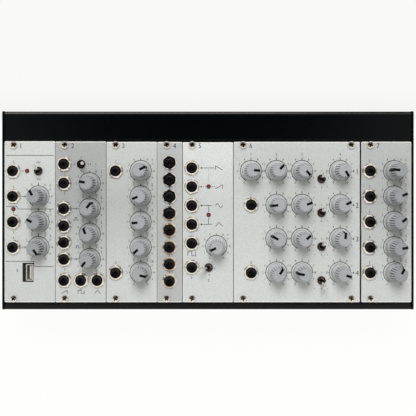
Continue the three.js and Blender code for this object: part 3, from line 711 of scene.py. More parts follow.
# %% Panels
HOLE_FITS = {"screw": 1.7, "light": 1.8, "toggle": 3.0, "jack": 4.5, "pot": 5.0}
PORT_SIZE = Vector((9.0, 15.4))
PORT_CORNER = 0.6
PANEL_CORNER = 0.75
DEBURRED = 0.12
RIM_DROP = 0.26
# The width of the rim's slope at the front and rear, and at each panel's left and right edge
RIM_ENDS = 0.6
RIM_SIDE = 0.15
RIM_SIDES = {"controller": (0.03, 0.1), "modulator": (0.4, 0.35), "filter": (0.15, 0.3),
             "amplifier": (0.3, 0.03)}
# How much each panel is cut short at its left, right and rear edge
SHORT_EDGES = {
    "controller": (0, -0.06, 0), "oscillator": (0, 0, 0.2), "divider": (0.06, -0.08, 0.5),
    "multiple": (0, 0, 0.6), "modulator": (0.1, 0.08, 0.8), "filter": (0.04, 0.5, 0.5),
    "amplifier": (0.5, 0, 0.4),
}
CORNER_STEPS = 4


def ring_points(middle, radius, sides=40):
    return arc(middle, radius, 0, 360, sides)[:-1]


def rounded_rectangle(low, high, radius, steps=CORNER_STEPS):
    """The points of a rectangle whose corners are quarter circles."""
    left, right, front, rear = low[0] + radius, high[0] - radius, low[1] + radius, high[1] - radius
    points = []
    for quarter, corner in enumerate(((right, rear), (left, rear), (left, front), (right, front))):
        points += arc(corner, radius, 90 * quarter, 90 * (quarter + 1), steps)
    return points


def filled_plate(name, outlines, low, high, edge, rim=None):
    """A plate between two levels: the first outline goes round it, the others are holes. A rim is the outline
    that a slope reaches from the first one; the slope gets the second finish."""
    drawing = bmesh.new()
    edges, rings = [], []
    for outline in outlines:
        rings.append([drawing.verts.new((x, y, high)) for x, y in outline])
        edges += [drawing.edges.new(pair) for pair in zip(rings[-1], rings[-1][1:] + rings[-1][:1])]
    bmesh.ops.triangle_fill(drawing, edges=edges, use_beauty=True)
    if rim:
        inner, outer = rings[0], [drawing.verts.new((x, y, high - RIM_DROP)) for x, y in rim]
        for index in range(len(outer)):
            after = (index + 1) % len(outer)
            slope = drawing.faces.new((inner[index], inner[after], outer[after], outer[index]))
            slope.material_index = 1
    faced_outward(drawing)
    lower = bmesh.ops.extrude_face_region(drawing, geom=drawing.faces[:])["geom"]
    for item in lower:
        if isinstance(item, bmesh.types.BMVert):
            item.co.z = low
    faced_outward(drawing)
    broken_edges(drawing, edge, sharper_than=80)
    return finished(name, drawing, smooth_below=20)


def panel(module):
    """A module's front panel with its rim and all its holes."""
    low, high = size_of(f"panel_{module}")
    left_cut, right_cut, rear_cut = SHORT_EDGES[module]
    left_rim, right_rim = RIM_SIDES.get(module, (RIM_SIDE, RIM_SIDE))
    first, last = Vector((low.x + left_cut, low.y)), Vector((high.x - right_cut, high.y - rear_cut))
    rim = rounded_rectangle(first, last, PANEL_CORNER)
    upper = (first + Vector((left_rim, RIM_ENDS)), last - Vector((right_rim, RIM_ENDS)))
    outlines = [rounded_rectangle(*upper, PANEL_CORNER)]
    for kind, radius in HOLE_FITS.items():
        outlines += [ring_points(place, radius) for place in controls[module][kind]]
    for place in controls[module]["port"]:
        outlines.append(rounded_rectangle(place - PORT_SIZE / 2, place + PORT_SIZE / 2, PORT_CORNER))
    mesh = filled_plate(f"panel_plate_{module}", outlines, low.z, high.z, DEBURRED, rim)
    mesh.materials.append(PANEL_FINISHES[module])
    mesh.materials.append(BARE_EDGE)
    return add_piece(f"front_panel_{module}", mesh, PANEL_FINISHES[module], replaces=[f"panel_{module}"])


for module in MODULES:
    panel(module)
print(f"panels: {len(made)}")

# %% [markdown]
# ## Threads, nuts and panel screws
# Fine threads are rings that swell and shrink: at this size nobody can tell them from a helix. A hexagon
# nut is a chamfered round blank whose radius is cut off at six flats. The screws have pan heads, a shallow
# crown with a rolled edge, and a cross recess whose arms taper toward the bottom, cut by a Boolean once and
# then copied; the recess gets a painted shade in a dark finish. Each was driven home by hand, so each cross
# has its own angle from a seeded generator.

# %% Threads, nuts and screws
THREAD_DEPTH = 0.18
NUT_SIDES = 60
SCREW_HEAD_RADIUS = 3.0
SCREW_HEAD_HEIGHT = 2.0
SCREW_CROWN = 12.5
SCREW_ROLL = 0.55
SCREW_SHANK = 1.45
SCREW_LENGTH = 6.0
CROSS_REACH = 2.15
CROSS_WIDTH = 1.15
CROSS_DEPTH = 1.6
CROSS_TAPER = 0.5
# How far a cutting tool stands out of what it cuts, and how far below the crown its faces count as recess
OVERRUN = 0.3
CROSS_SKIN = 0.08
THREAD_ROOM = 0.03
WASHER_ROOM = 0.05


def thread(radius, low, high, pitch=0.5):
    """The outline of a thread, from its foot to its end."""
    turns = max(1, round((high - low) / pitch))
    points = []
    for turn in range(turns):
        start = low + (high - low) * turn / turns
        points += [(radius - THREAD_DEPTH, start), (radius, start + pitch / 2)]
    return points + [(radius - THREAD_DEPTH, high)]


def six_flats(flat):
    """A shape that cuts a round blank to a hexagon; flat is from the middle to a flat."""
    def reach(radius, height, angle):
        return min(radius, flat / math.cos(angle % (math.pi / 3) - math.pi / 6))
    return reach


def hexagon_nut(name, flat, height, thread_radius, fall=None, corner=None):
    """A nut on the face, chamfered above and below; fall is how far its top slopes down to the corners."""
    bore = thread_radius + THREAD_ROOM
    corner = corner or flat / math.cos(math.pi / 6)
    chamfer = corner - flat
    lead = 0.2
    inner = bore + lead
    if fall is None:
        top = [(corner, height - chamfer * 0.55), (flat + 0.05, height)]
    else:
        top = [(corner, height - fall), (flat, height - fall * (flat - inner) / (corner - inner))]
    profile = [(bore, lead), (inner, 0), (flat, 0), (corner, chamfer * 0.5), *top, (inner, height),
               (bore, height - lead), (bore, lead)]
    return turned(name, profile, sides=NUT_SIDES, shape=six_flats(flat), smooth_below=25)


def washer(name, thread_radius, outer, thickness, dish=0.0):
    """A flat ring, or one that is dished up toward the middle."""
    inner, edge = thread_radius + WASHER_ROOM, thickness / 3
    return turned(name, [
        (inner, dish), (outer - edge, 0), (outer, edge), (outer, thickness - edge), (outer - edge, thickness),
        (inner, thickness + dish), (inner, dish),
    ])


def cross_recess(top):
    """The tool that cuts a cross recess, from above the head down into it."""
    rings = []
    for height, scale in ((top + OVERRUN, 1.0), (top - CROSS_DEPTH, CROSS_TAPER)):
        arm, half = CROSS_REACH * scale, CROSS_WIDTH / 2 * (0.5 + scale / 2)
        quarter = [(arm, -half), (arm, half), (half, half)]
        ring = []
        for _ in range(4):
            ring += [(x, y, height) for x, y in quarter]
            quarter = [(-y, x) for x, y in quarter]
        rings.append(ring)
    drawing = bmesh.new()
    skin(drawing, rings)
    return finished("cross_recess", drawing)


def panel_screw():
    """A screw whose head rests at zero height."""
    def crown(radius):
        return SCREW_HEAD_HEIGHT - SCREW_CROWN + math.sqrt(SCREW_CROWN ** 2 - radius ** 2)
    inner = SCREW_HEAD_RADIUS - SCREW_ROLL * 0.7
    level = crown(inner)
    roll = [(inner + SCREW_ROLL * 0.7 * math.sin(angle), level - SCREW_ROLL * (1 - math.cos(angle)))
            for angle in (math.radians(step) for step in (90, 70, 50, 35))]
    dome = roll + [(radius, crown(radius)) for radius in (inner, 1.6, 1.0, 0.4)]
    profile = [(SCREW_SHANK - 0.4, -SCREW_LENGTH), *thread(SCREW_SHANK, 0.3 - SCREW_LENGTH, -0.2),
               (SCREW_SHANK, 0), (SCREW_HEAD_RADIUS - 0.1, 0), (SCREW_HEAD_RADIUS, 0.1), *dome]
    screw = cut(turned("screw_blank", profile), cross_recess(SCREW_HEAD_HEIGHT))
    # The recess's faces get the second finish, a painted shade
    for flat in screw.polygons:
        radius = flat.center.xy.length / MM
        if radius < CROSS_REACH and 0 < flat.center.z / MM < crown(radius) - CROSS_SKIN:
            flat.material_index = 1
    return screw


screw_mesh = panel_screw()
hand = random.Random(11)
for module in MODULES:
    pairs = [(screw_mesh, placed(place.x, place.y, face, hand.uniform(0, math.pi / 2)))
             for place in controls[module]["screw"]]
    mesh = copies(f"panel_screws_{module}", pairs)
    mesh.materials.append(NICKEL)
    # The second finish is the recess's painted shade
    mesh.materials.append(BLACK_NICKEL)
    add_piece(f"panel_screws_{module}", mesh, NICKEL)
print(f"screws: {sum(len(found['screw']) for found in controls.values())}")

# %% [markdown]
# ## Sockets
# A small jack socket is a black threaded bush that comes up through the panel, with a nickel nut and a thin
# washer that clamp it. The bush has a dished mouth, so it reads as a grey ring round a black hole. The nut's
# top is a cone from the bush down to its corners, and so shines, while the flat washer is dark. The socket's
# body hangs behind the panel on the circuit board. In the narrow module the nuts are older: smoked black at
# the rear, copper brown in the middle and pale toward the player, and their corners are worn almost round,
# while their washers still shine.

# %% Sockets
JACK_BUSH = 4.2
JACK_PROUD = 3.0
JACK_MOUTH = ((1.8, 2.55), (1.95, 2.7), (3.05, JACK_PROUD - 0.08), (3.25, JACK_PROUD), (3.85, JACK_PROUD),
              (JACK_BUSH - THREAD_DEPTH, JACK_PROUD - 0.15))
JACK_NUT_FLAT = 5.35
JACK_NUT_HEIGHT = 2.1
JACK_NUT_FALL = 0.9
OLD_NUT_FLAT = 4.9
OLD_NUT_CORNER = 5.2
OLD_NUT_FALL = 0.45
WASHER_THICKNESS = 0.35
JACK_WASHER = 5.9
OLD_WASHER = 5.7
OLD_WASHER_DISH = 0.6
# Tones of the old nuts from the panels' front end to their rear end
OLD_NUT_TONES = ((0.14, (0.72, 0.60, 0.48)), (0.25, (0.60, 0.42, 0.30)), (0.36, (0.34, 0.24, 0.17)),
                 (0.44, (0.50, 0.28, 0.14)), (0.53, (0.06, 0.042, 0.032)), (0.64, (0.018, 0.016, 0.015)))
# The size of the patches where the tones mix, and how far along the row one reaches
OLD_NUT_PATCH = 3.0
OLD_NUT_MIX = 0.24
THREAD_FOOT = -1.8
# What hangs behind the panel: its body's depth and gap to the panel, and its lugs, which pass the board
CONTROL_DEPTH = 10.0
CONTROL_GAP = 0.3
LUG_DROP = 3.2
LUG_ROOT = 0.2
JACK_BODY = Vector((9.0, 10.5))
JACK_LUG = Vector((1.6, 0.3))
JACK_LUG_LINE = JACK_BODY.y / 2 - 0.8
# Levels below the panel's face
control_top = back - face - CONTROL_GAP
control_foot = control_top - CONTROL_DEPTH


def threaded_bush(name, radius, mouth, thread_foot, thread_end):
    """A bush whose mouth is drawn from its bore out to its thread; zero height is the panel's face."""
    root, bore = radius - THREAD_DEPTH, mouth[0][0]
    return turned(name, [
        (bore, control_top), *mouth, *reversed(thread(radius, thread_foot, thread_end)),
        (root, control_top), (bore, control_top),
    ], smooth_below=28)


def add_lug(drawing, middle, size, edge=0.1):
    """A contact that starts in a control's body and ends below the board."""
    slab(drawing, middle, size, control_foot - LUG_DROP, control_foot + LUG_ROOT, edge)


def jack_body():
    """The closed box of a socket behind the panel, with a contact lug on either side."""
    drawing = bmesh.new()
    slab(drawing, (0, 0), JACK_BODY, control_foot, control_top, edge=0.4)
    for y in (-JACK_LUG_LINE, JACK_LUG_LINE):
        add_lug(drawing, (0, y), JACK_LUG, edge=0.08)
    return finished("jack_body", drawing)


def old_nut_finish():
    """Nickel that has gone black at the rear and brown further on, and is still pale nearest the player."""
    material = finish("old_nickel", UNPAINTED, UNPAINTED, roughness=0.28, metallic=1.0,
                      size=0.6, bump=0.002)
    tree = material.node_tree
    patch = maths(tree, "MULTIPLY", maths(tree, "SUBTRACT", grain(tree, OLD_NUT_PATCH), 0.5), OLD_NUT_MIX)
    return recoloured(material, ramp(tree, maths(tree, "ADD", along_row(tree), patch), *OLD_NUT_TONES))


OLD_NICKEL = old_nut_finish()
bush_mesh = threaded_bush("jack_bush", JACK_BUSH, JACK_MOUTH, THREAD_FOOT, JACK_PROUD - 0.35)
body_mesh = jack_body()
flat_washer = washer("jack_washer", JACK_BUSH, JACK_WASHER, WASHER_THICKNESS)
dished_washer = washer("dished_washer", JACK_BUSH, OLD_WASHER, WASHER_THICKNESS, OLD_WASHER_DISH)
nut_mesh = hexagon_nut("jack_nut", JACK_NUT_FLAT, JACK_NUT_HEIGHT, JACK_BUSH, JACK_NUT_FALL)
old_nut_mesh = hexagon_nut("old_nut", OLD_NUT_FLAT, JACK_NUT_HEIGHT, JACK_BUSH, OLD_NUT_FALL, OLD_NUT_CORNER)
for module in MODULES:
    places = controls[module]["jack"]
    if not places:
        continue
    ring, lift, nut, metal = flat_washer, 0, nut_mesh, NICKEL
    if module == "multiple":
        ring, lift, nut, metal = dished_washer, OLD_WASHER_DISH / 2, old_nut_mesh, OLD_NICKEL
    spots = [placed(place.x, place.y, face) for place in places]
    turns = [placed(place.x, place.y, face + WASHER_THICKNESS + lift, hand.uniform(0, math.pi / 3))
             for place in places]
    add_copies(f"sockets_{module}", [bush_mesh], spots, BUSH_PLASTIC)
    add_copies(f"socket_bodies_{module}", [body_mesh], spots, BLACK_PLASTIC)
    add_copies(f"socket_washers_{module}", [ring], spots, NICKEL)
    add_copies(f"socket_nuts_{module}", [nut], turns, metal)
print(f"sockets: {sum(len(found['jack']) for found in controls.values())}")

# %% [markdown]
# ## Knobs
# A knob is moulded round: a flat top with a small bevel, a tapered grip with flutes, and a smooth skirt with
# a shoulder. The flutes are grooves between broad ribs, made by pulling the radius in near eighteen evenly
# spaced angles. Underneath it is hollow with a boss for the shaft, as a moulding is. The pointer is a black
# strip laid into the top that runs over the edge and down one rib to the skirt. All knobs of a module share
# one mesh, since they share one batch of grey, and each is turned to where its hinge says that it rests.

# %% Knob shapes
KNOB_SKIRT = 7.3
SKIRT_SHOULDER = 4.8
KNOB_BEVEL = 0.3
KNOB_WALL = 1.2
KNOB_SIDES = 144
FLUTES = 18
FLUTE_DEPTH = 0.95
FLUTE_SHARE = 0.46
FLUTE_FOOT = SKIRT_HEIGHT + 0.4
FLUTE_FADE = 0.9
SHAFT = 3.0
BOSS = 4.3
SHAFT_TIP = 11.0
SHAFT_PLAY = 0.02
# The flat's distance from the shaft's middle, and the height up to which the shaft is round
SHAFT_FLAT = 2.35
SHAFT_ROUND = 1.5
# The depth of the hollow under the boss, and how far the boss reaches beyond the shaft's tip
KNOB_HOLLOW = 0.9
BOSS_CROWN = 0.8
POINTER_WIDTH = 1.95
POINTER_START = 0.8
POINTER_PROUD = 0.08
POINTER_SUNK = 0.25
# How much narrower the pointer's strip is on the side of the grip
POINTER_SIDE_SHARE = 0.62
pitch_angle = math.tau / FLUTES


def side_radius(height):
    """The outside of the grip above the skirt."""
    return KNOB_GRIP - KNOB_TAPER * (height - SKIRT_HEIGHT)


def fluted(radius, height, angle):
    """Pulls the outside of the grip in, near each flute."""
    if height < FLUTE_FOOT or radius < side_radius(height) - KNOB_BEVEL - 0.01:
        return radius
    off_rib = abs((angle / pitch_angle) % 1 - 0.5) * 2
    across = max(0.0, 1 - (1 - off_rib) / FLUTE_SHARE)
    rise = min(1.0, (height - FLUTE_FOOT) / FLUTE_FADE)
    return radius - FLUTE_DEPTH * math.sqrt(across) * math.sqrt(rise)


def knob_cap():
    """A hollow moulding; zero height is its skirt's foot."""
    flute_levels = (FLUTE_FOOT, FLUTE_FOOT + 0.1, FLUTE_FOOT + 0.4, FLUTE_FOOT + FLUTE_FADE,
                    KNOB_HEIGHT - KNOB_BEVEL)
    boss_end = SHAFT_TIP + BOSS_CROWN
    return turned("knob_cap", [
        (SHAFT, SHAFT_TIP), (SHAFT, KNOB_HOLLOW), (BOSS, KNOB_HOLLOW), (BOSS, boss_end),
        (BOSS + 0.05, boss_end),
        (KNOB_GRIP - KNOB_WALL, SKIRT_HEIGHT - 0.8), (KNOB_SKIRT - KNOB_WALL, 0),
        (KNOB_SKIRT - 0.15, 0), (KNOB_SKIRT, 0.15), (KNOB_SKIRT - 0.25, SKIRT_SHOULDER - 0.3),
        (KNOB_SKIRT - 0.45, SKIRT_SHOULDER), (KNOB_GRIP + 0.15, SKIRT_HEIGHT - 0.25),
        (KNOB_GRIP, SKIRT_HEIGHT), *((side_radius(level), level) for level in flute_levels),
        (KNOB_TOP - KNOB_BEVEL * 0.35, KNOB_HEIGHT - KNOB_BEVEL * 0.3),
        (KNOB_TOP - KNOB_BEVEL, KNOB_HEIGHT),
    ], sides=KNOB_SIDES, shape=fluted, smooth_below=30)


def knob_pointer():
    """A strip that starts on the top, goes over the edge and down one rib; it points to +Y."""
    half = POINTER_WIDTH / 2
    path = [
        (POINTER_START, KNOB_HEIGHT), (KNOB_TOP - KNOB_BEVEL, KNOB_HEIGHT),
        (KNOB_TOP - KNOB_BEVEL * 0.3, KNOB_HEIGHT - KNOB_BEVEL * 0.3), (KNOB_TOP, KNOB_HEIGHT - KNOB_BEVEL),
        (side_radius(SKIRT_HEIGHT), SKIRT_HEIGHT),
    ]
    rows = []
    for index, (out, height) in enumerate(path):
        before, after = path[max(0, index - 1)], path[min(len(path) - 1, index + 1)]
        along = Vector((after[0] - before[0], after[1] - before[1])).normalized()
        normal = Vector((-along.y, along.x))
        width = half if height > KNOB_HEIGHT - KNOB_BEVEL * 1.1 else half * POINTER_SIDE_SHARE
        inner = Vector((out, height)) - normal * POINTER_SUNK
        outer = Vector((out, height)) + normal * POINTER_PROUD
        rows.append([(-width, *inner), (width, *inner), (width, *outer), (-width, *outer)])
    drawing = bmesh.new()
    skin(drawing, rows)
    return finished("knob_pointer", drawing)


def knob_shaft(base, end):
    """A shaft with a flat on one side for the knob's boss; zero height is the knob's base."""
    def flat_side(radius, height, angle):
        if height < SHAFT_ROUND:
            return radius
        return min(radius, SHAFT_FLAT / max(0.05, math.cos(angle)))
    radius = SHAFT - SHAFT_PLAY
    return turned("knob_shaft", [
        (SHAFT - 0.3, end), (radius, end + 0.3), (radius, SHAFT_ROUND - 0.1), (radius, SHAFT_ROUND + 0.1),
        (radius, base - 0.4), (SHAFT - 0.4, base),
    ], shape=flat_side)


# %% Knobs on their shafts
POT_PROUD = 0.7
KNOB_CLEARANCE = 0.3
knob_level = face + POT_PROUD + KNOB_CLEARANCE
cap_meshes = {module: knob_cap() for module in KNOB_PLASTICS}
pointer_mesh = knob_pointer()
shaft_low = size_of("knob_controller_1")[0].z
shaft_mesh = knob_shaft(SHAFT_TIP - 0.2, shaft_low - knob_level)
knobs = {}
for child, joint in joints.items():
    if not child.startswith("knob_"):
        continue
    module = child.split("_")[1]
    place = Vector(joint["pos_m"]) / MM
    rest = math.radians(sum(joint["range_deg"]) / 2)
    at = placed(place.x, place.y, knob_level, -rest)
    tail = child.removeprefix("knob_")
    add_piece(f"knob_cap_{tail}", cap_meshes[module], KNOB_PLASTICS[module], body=child, replaces=[child],
              at=at)
    add_piece(f"knob_pointer_{tail}", pointer_mesh, POINTER_BLACK, body=child, at=at)
    add_piece(f"knob_shaft_{tail}", shaft_mesh, NICKEL, body=child, at=at)
    knobs.setdefault(module, []).append(place.xy)
print(f"knobs: {sum(map(len, knobs.values()))}, each {len(cap_meshes['filter'].polygons)} faces")

# %% [markdown]
# ### Potentiometers
# Under each knob a potentiometer stands on the board: a pressed metal can, a threaded bushing that reaches
# through the panel, and a thin nut in the hollow of the knob. Three lugs run down through the board.

# %% Potentiometers
POT_BODY = 13.0
POT_BUSHING = 4.7
POT_NUT_FLAT = 5.2
POT_NUT_HEIGHT = 0.6
SHAFT_ROOM = 3.55
POT_LUG = Vector((1.0, 0.4))
POT_LUG_PITCH = 2.5
POT_LUG_LINE = 1.2 - POT_BODY / 2


def pot_can():
    """The pressed can behind the panel, with its three lugs."""
    drawing = bmesh.new()
    slab(drawing, (0, 0), (POT_BODY, POT_BODY), control_foot, control_top, edge=0.9, segments=3)
    for x in (-POT_LUG_PITCH, 0, POT_LUG_PITCH):
        add_lug(drawing, (x, POT_LUG_LINE), POT_LUG)
    return finished("pot_can", drawing)


pot_mesh = pot_can()
pot_mouth = ((SHAFT_ROOM, POT_PROUD), (POT_BUSHING - THREAD_DEPTH, POT_PROUD))
bushing_mesh = threaded_bush("pot_bushing", POT_BUSHING, pot_mouth, control_top + 0.6, POT_PROUD - 0.1)
pot_nut_mesh = hexagon_nut("pot_nut", POT_NUT_FLAT, POT_NUT_HEIGHT, POT_BUSHING)
for module, places in knobs.items():
    spots = [placed(place.x, place.y, face) for place in places]
    add_copies(f"pots_{module}", [pot_mesh], spots, NICKEL)
    add_copies(f"pot_bushings_{module}", [bushing_mesh, pot_nut_mesh], spots, NICKEL)
print(f"potentiometers: {sum(map(len, knobs.values()))}")

# %% [markdown]
# ## Toggle switches
# A toggle switch has a threaded bush with a nut, and a bat lever that swings on a ball inside the bush. The
# lever is one turned shape: ball, thin neck and a long taper to a round tip. It is drawn upright with its
# ball at zero and then leaned by the middle of its hinge's range, about the hinge's own axis.

# %% Toggle switches
TOGGLE_BUSH = 2.7
TOGGLE_PROUD = 2.0
TOGGLE_MOUTH = ((1.9, TOGGLE_PROUD - 0.25), (2.4, TOGGLE_PROUD),
                (TOGGLE_BUSH - THREAD_DEPTH - 0.1, TOGGLE_PROUD))
TOGGLE_NUT_FLAT = 3.1
TOGGLE_NUT_HEIGHT = 1.3
TOGGLE_WASHER_WIDER = 0.35
TOGGLE_WASHER_THICKNESS = 0.3
TOGGLE_BODY = Vector((7.0, 12.5))
TOGGLE_COVER = TOGGLE_BODY + Vector((0.3, 0.3))
TOGGLE_COVER_DEPTH = 2.2
TOGGLE_LUG = Vector((1.8, 0.6))
TOGGLE_LUG_PITCH = 4.7
LEVER_BALL = 1.4
LEVER_NECK = 0.85
LEVER_TIP = 1.35
LEVER_REACH = 14.5
# Tones along the lever from its ball to its tip: painted shade on the ball in the bush, and darker toward the
# foot
LEVER_SHADE_TONES = ((0.15, (0.03, 0.026, 0.022)), (0.27, (0.62, 0.61, 0.58)), (0.8, (0.86, 0.85, 0.82)))


def bat_lever():
    """A ball, a neck and a long bat, upright with the ball's middle at zero."""
    ball = arc((0, 0), LEVER_BALL, -84, 52)
    tip = arc((0, LEVER_REACH - LEVER_TIP), LEVER_TIP, 0, 84)
    return turned("bat_lever", [*ball, (LEVER_NECK, LEVER_BALL), (LEVER_NECK + 0.05, LEVER_BALL + 1.2), *tip],
                  sides=32)


def toggle_body():
    drawing = bmesh.new()
    slab(drawing, (0, 0), TOGGLE_BODY, control_foot, control_top - 0.8, edge=0.3)
    for y in (-TOGGLE_LUG_PITCH, 0, TOGGLE_LUG_PITCH):
        add_lug(drawing, (0, y), TOGGLE_LUG)
    return finished("toggle_body", drawing)


def toggle_cover():
    """The bent steel plate that holds the bush on the body."""
    drawing = bmesh.new()
    slab(drawing, (0, 0), TOGGLE_COVER, control_top - TOGGLE_COVER_DEPTH, control_top, edge=0.25)
    return finished("toggle_cover", drawing)


def lever_finish():
    """Nickel on the bat, with painted shade on the ball where it sits in the bush and toward the lever's
    foot.
    """
    material = finish("lever_nickel", UNPAINTED, UNPAINTED, roughness=0.14, metallic=1.0,
                      size=0.8, bump=0.001, gloss_change=0.04, gloss_size=2.0)
    tree = material.node_tree
    reach = maths(tree, "DIVIDE", object_place(tree, "Z"), LEVER_REACH * MM)
    return recoloured(material, ramp(tree, reach, *LEVER_SHADE_TONES))


LEVER_NICKEL = lever_finish()
lever_mesh, toggle_body_mesh, toggle_cover_mesh = bat_lever(), toggle_body(), toggle_cover()
toggle_bush_mesh = threaded_bush("toggle_bush", TOGGLE_BUSH, TOGGLE_MOUTH, THREAD_FOOT, TOGGLE_PROUD - 0.3)
toggle_nut_mesh = hexagon_nut("toggle_nut", TOGGLE_NUT_FLAT, TOGGLE_NUT_HEIGHT, TOGGLE_BUSH)
toggle_nut_mesh.transform(placed(0, 0, TOGGLE_WASHER_THICKNESS))
toggle_washer_mesh = washer("toggle_washer", TOGGLE_BUSH, TOGGLE_NUT_FLAT + TOGGLE_WASHER_WIDER,
                            TOGGLE_WASHER_THICKNESS)
toggles = {}
for child, joint in joints.items():
    if not child.startswith("toggle_"):
        continue
    module = child.split("_")[1]
    pivot = Vector(joint["pos_m"]) / MM
    axis = Vector(joint["axis"])
    lean = -math.radians(sum(joint["range_deg"]) / 2)
    at = Matrix.Translation(pivot * MM) @ Matrix.Rotation(lean, 4, axis)
    add_piece(f"toggle_lever_{child.removeprefix('toggle_')}", lever_mesh, LEVER_NICKEL, body=child,
              replaces=[child], at=at)
    sideways = abs(axis.y) > 0.5
    toggles.setdefault(module, []).append((pivot.xy, sideways))
for module, switches in toggles.items():
    spots = [placed(place.x, place.y, face, math.pi / 2 if sideways else 0) for place, sideways in switches]
    dark = BLACK_NICKEL if module == "oscillator" else SMOKED_NICKEL
    add_copies(f"toggle_bushes_{module}", [toggle_bush_mesh], spots, dark)
    add_copies(f"toggle_nuts_{module}", [toggle_nut_mesh, toggle_washer_mesh], spots, dark)
    add_copies(f"toggle_bodies_{module}", [toggle_body_mesh], spots, BLACK_PLASTIC)
    add_copies(f"toggle_covers_{module}", [toggle_cover_mesh], spots, NICKEL)
print(f"toggle switches: {sum(map(len, toggles.values()))}")

# %% [markdown]
# ## Indicators and the data port
# An indicator is a small red lens in a black holder ring that fills its hole. The port is a pressed shell
# that stands upright a little to the right in its cut-out, so a dark gap shows at its left. Its rim is bright
# tinned steel. Inside the shell, toward the right, is a pale tongue with four contacts on its left side, and
# behind the cut-out a black base plate closes the view.

# %% Indicators and port
LENS = 1.45
LENS_PROUD = 0.8
LENS_DOME = 1.78
LENS_DEPTH = 6.0
HOLDER = 1.76
HOLDER_FOOT = -1.6
PORT_SHELL = Vector((5.7, 13.1))
PORT_WALL = 0.7
PORT_SHIFT = 1.2
PORT_DEPTH = 9.0
TONGUE = Vector((1.5, 10.4))
TONGUE_SHIFT = 0.75
TONGUE_SUNK = 0.5
CONTACTS = 4
CONTACT_PITCH = 2.3
CONTACT_WIDTH = 1.0
PORT_PLAY = 0.02
PORT_BASE = 1.2
PORT_BASE_MARGIN = 1.5
PORT_SINK = 0.3


def lens():
    dome = arc((0, LENS_PROUD - 1.05), LENS_DOME, 36, 86, steps=7)
    return turned("lens", [(LENS, back - face - LENS_DEPTH), (LENS, 0.1), *dome], sides=32)


def lens_holder():
    inner = LENS + 0.02
    return turned("lens_holder", [(inner, HOLDER_FOOT), (inner, 0.12), (HOLDER - 0.08, 0.16), (HOLDER, 0.05),
                                  (HOLDER, HOLDER_FOOT), (inner, HOLDER_FOOT)], sides=32)


def port_shell():
    """A pressed tube with open mouth; its middle is at zero."""
    outer = rounded_rectangle(-PORT_SHELL / 2, PORT_SHELL / 2, 0.7)
    wall = Vector((PORT_WALL, PORT_WALL))
    inner = rounded_rectangle(wall - PORT_SHELL / 2, PORT_SHELL / 2 - wall, 0.35)
    foot, mouth = control_foot, -PORT_SINK
    drawing = bmesh.new()
    skin(drawing, [[(x, y, level) for x, y in outline] for outline, level in (
        (outer, foot), (outer, mouth), (inner, mouth), (inner, foot))], looped=True)
    return finished("port_shell", drawing)


def port_parts(place):
    """The port's pieces about its cut-out's middle."""
    at = placed(place.x + PORT_SHIFT, place.y, face)
    floor, tongue, contacts = bmesh.new(), bmesh.new(), bmesh.new()
    floor_level = -PORT_SINK - PORT_DEPTH
    inside = PORT_SHELL - 2 * Vector((PORT_WALL + PORT_PLAY, PORT_WALL + PORT_PLAY))
    slab(floor, (0, 0), inside, floor_level - 0.5, floor_level + 0.2)
    slab(tongue, (TONGUE_SHIFT, 0), TONGUE, floor_level, -PORT_SINK - TONGUE_SUNK, edge=0.25)
    left = TONGUE_SHIFT - TONGUE.x / 2
    for index in range(CONTACTS):
        y = (index - (CONTACTS - 1) / 2) * CONTACT_PITCH
        block(contacts, (left - 0.08, y - CONTACT_WIDTH / 2, floor_level + 0.3),
              (left + 0.05, y + CONTACT_WIDTH / 2, -PORT_SINK - 1.0), edge=0.04)
    add_piece("port_shell", port_shell(), TINNED_STEEL, at=at)
    add_drawn("port_floor", floor, BLACK_PLASTIC, at=at)
    add_drawn("port_tongue", tongue, PALE_PLASTIC, at=at)
    add_drawn("port_contacts", contacts, NICKEL, at=at)
    add_piece("port_base", port_base(), BLACK_PLASTIC, at=at)


def port_base():
    """The plate that closes the cut-out from behind, with the shell's own shape cut out of it."""
    plate, tool = bmesh.new(), bmesh.new()
    margin = 2 * Vector((PORT_BASE_MARGIN, PORT_BASE_MARGIN))
    slab(plate, (-PORT_SHIFT, 0), PORT_SIZE + margin, control_top - PORT_BASE, control_top, edge=0.2)
    slab(tool, (0, 0), PORT_SHELL, control_top - 5, control_top + 5)
    return cut(finished("port_base", plate), finished("hollow_tool", tool))


lens_mesh, holder_mesh = lens(), lens_holder()
for module in MODULES:
    spots = [placed(place.x, place.y, face) for place in controls[module]["light"]]
    if spots:
        add_copies(f"lights_{module}", [lens_mesh], spots, RED_LENS)
        add_copies(f"light_holders_{module}", [holder_mesh], spots, BLACK_PLASTIC)
    for place in controls[module]["port"]:
        port_parts(place)
print(f"lights: {sum(len(found['light']) for found in controls.values())}")

# %% [markdown]
# ## Circuit boards
# Each module hangs on its own board, 10 mm behind the panel. The board carries the controls on its upper
# side, and on its lower side solder cones, a few chips and the header for the ribbon cable. The ribbon is ten
# fine wires side by side, so its cross-section is a row of ten round ribs, swept along a bow down to the
# plug on the power board.

# %% Boards, headers, chips and solder
BOARD_THICKNESS = 1.6
board_top = back - CONTROL_GAP - CONTROL_DEPTH
board_bottom = board_top - BOARD_THICKNESS
HEADER = Vector((16.0, 8.0, 9.0))
HEADER_WALL = 1.1
HEADER_FLOOR_SHARE = 0.3
PIN_COLUMNS = 5
PIN_PITCH = 2.54
PIN_WIDTH = 0.64
PLUG_HEIGHT = 5.0
CHIP = Vector((10.0, 4.0, 1.6))
CHIP_GAP = 5.0
CHIP_LEGS = 7
CHIP_LEG_PITCH = 1.27
CHIP_LEG = Vector((0.4, 1.0))
SOLDER_RADIUS = 0.75
SHEET = 1.5
tray_low, tray_high = size_of("bottom_tray")
tray_floor = tray_low.z + SHEET
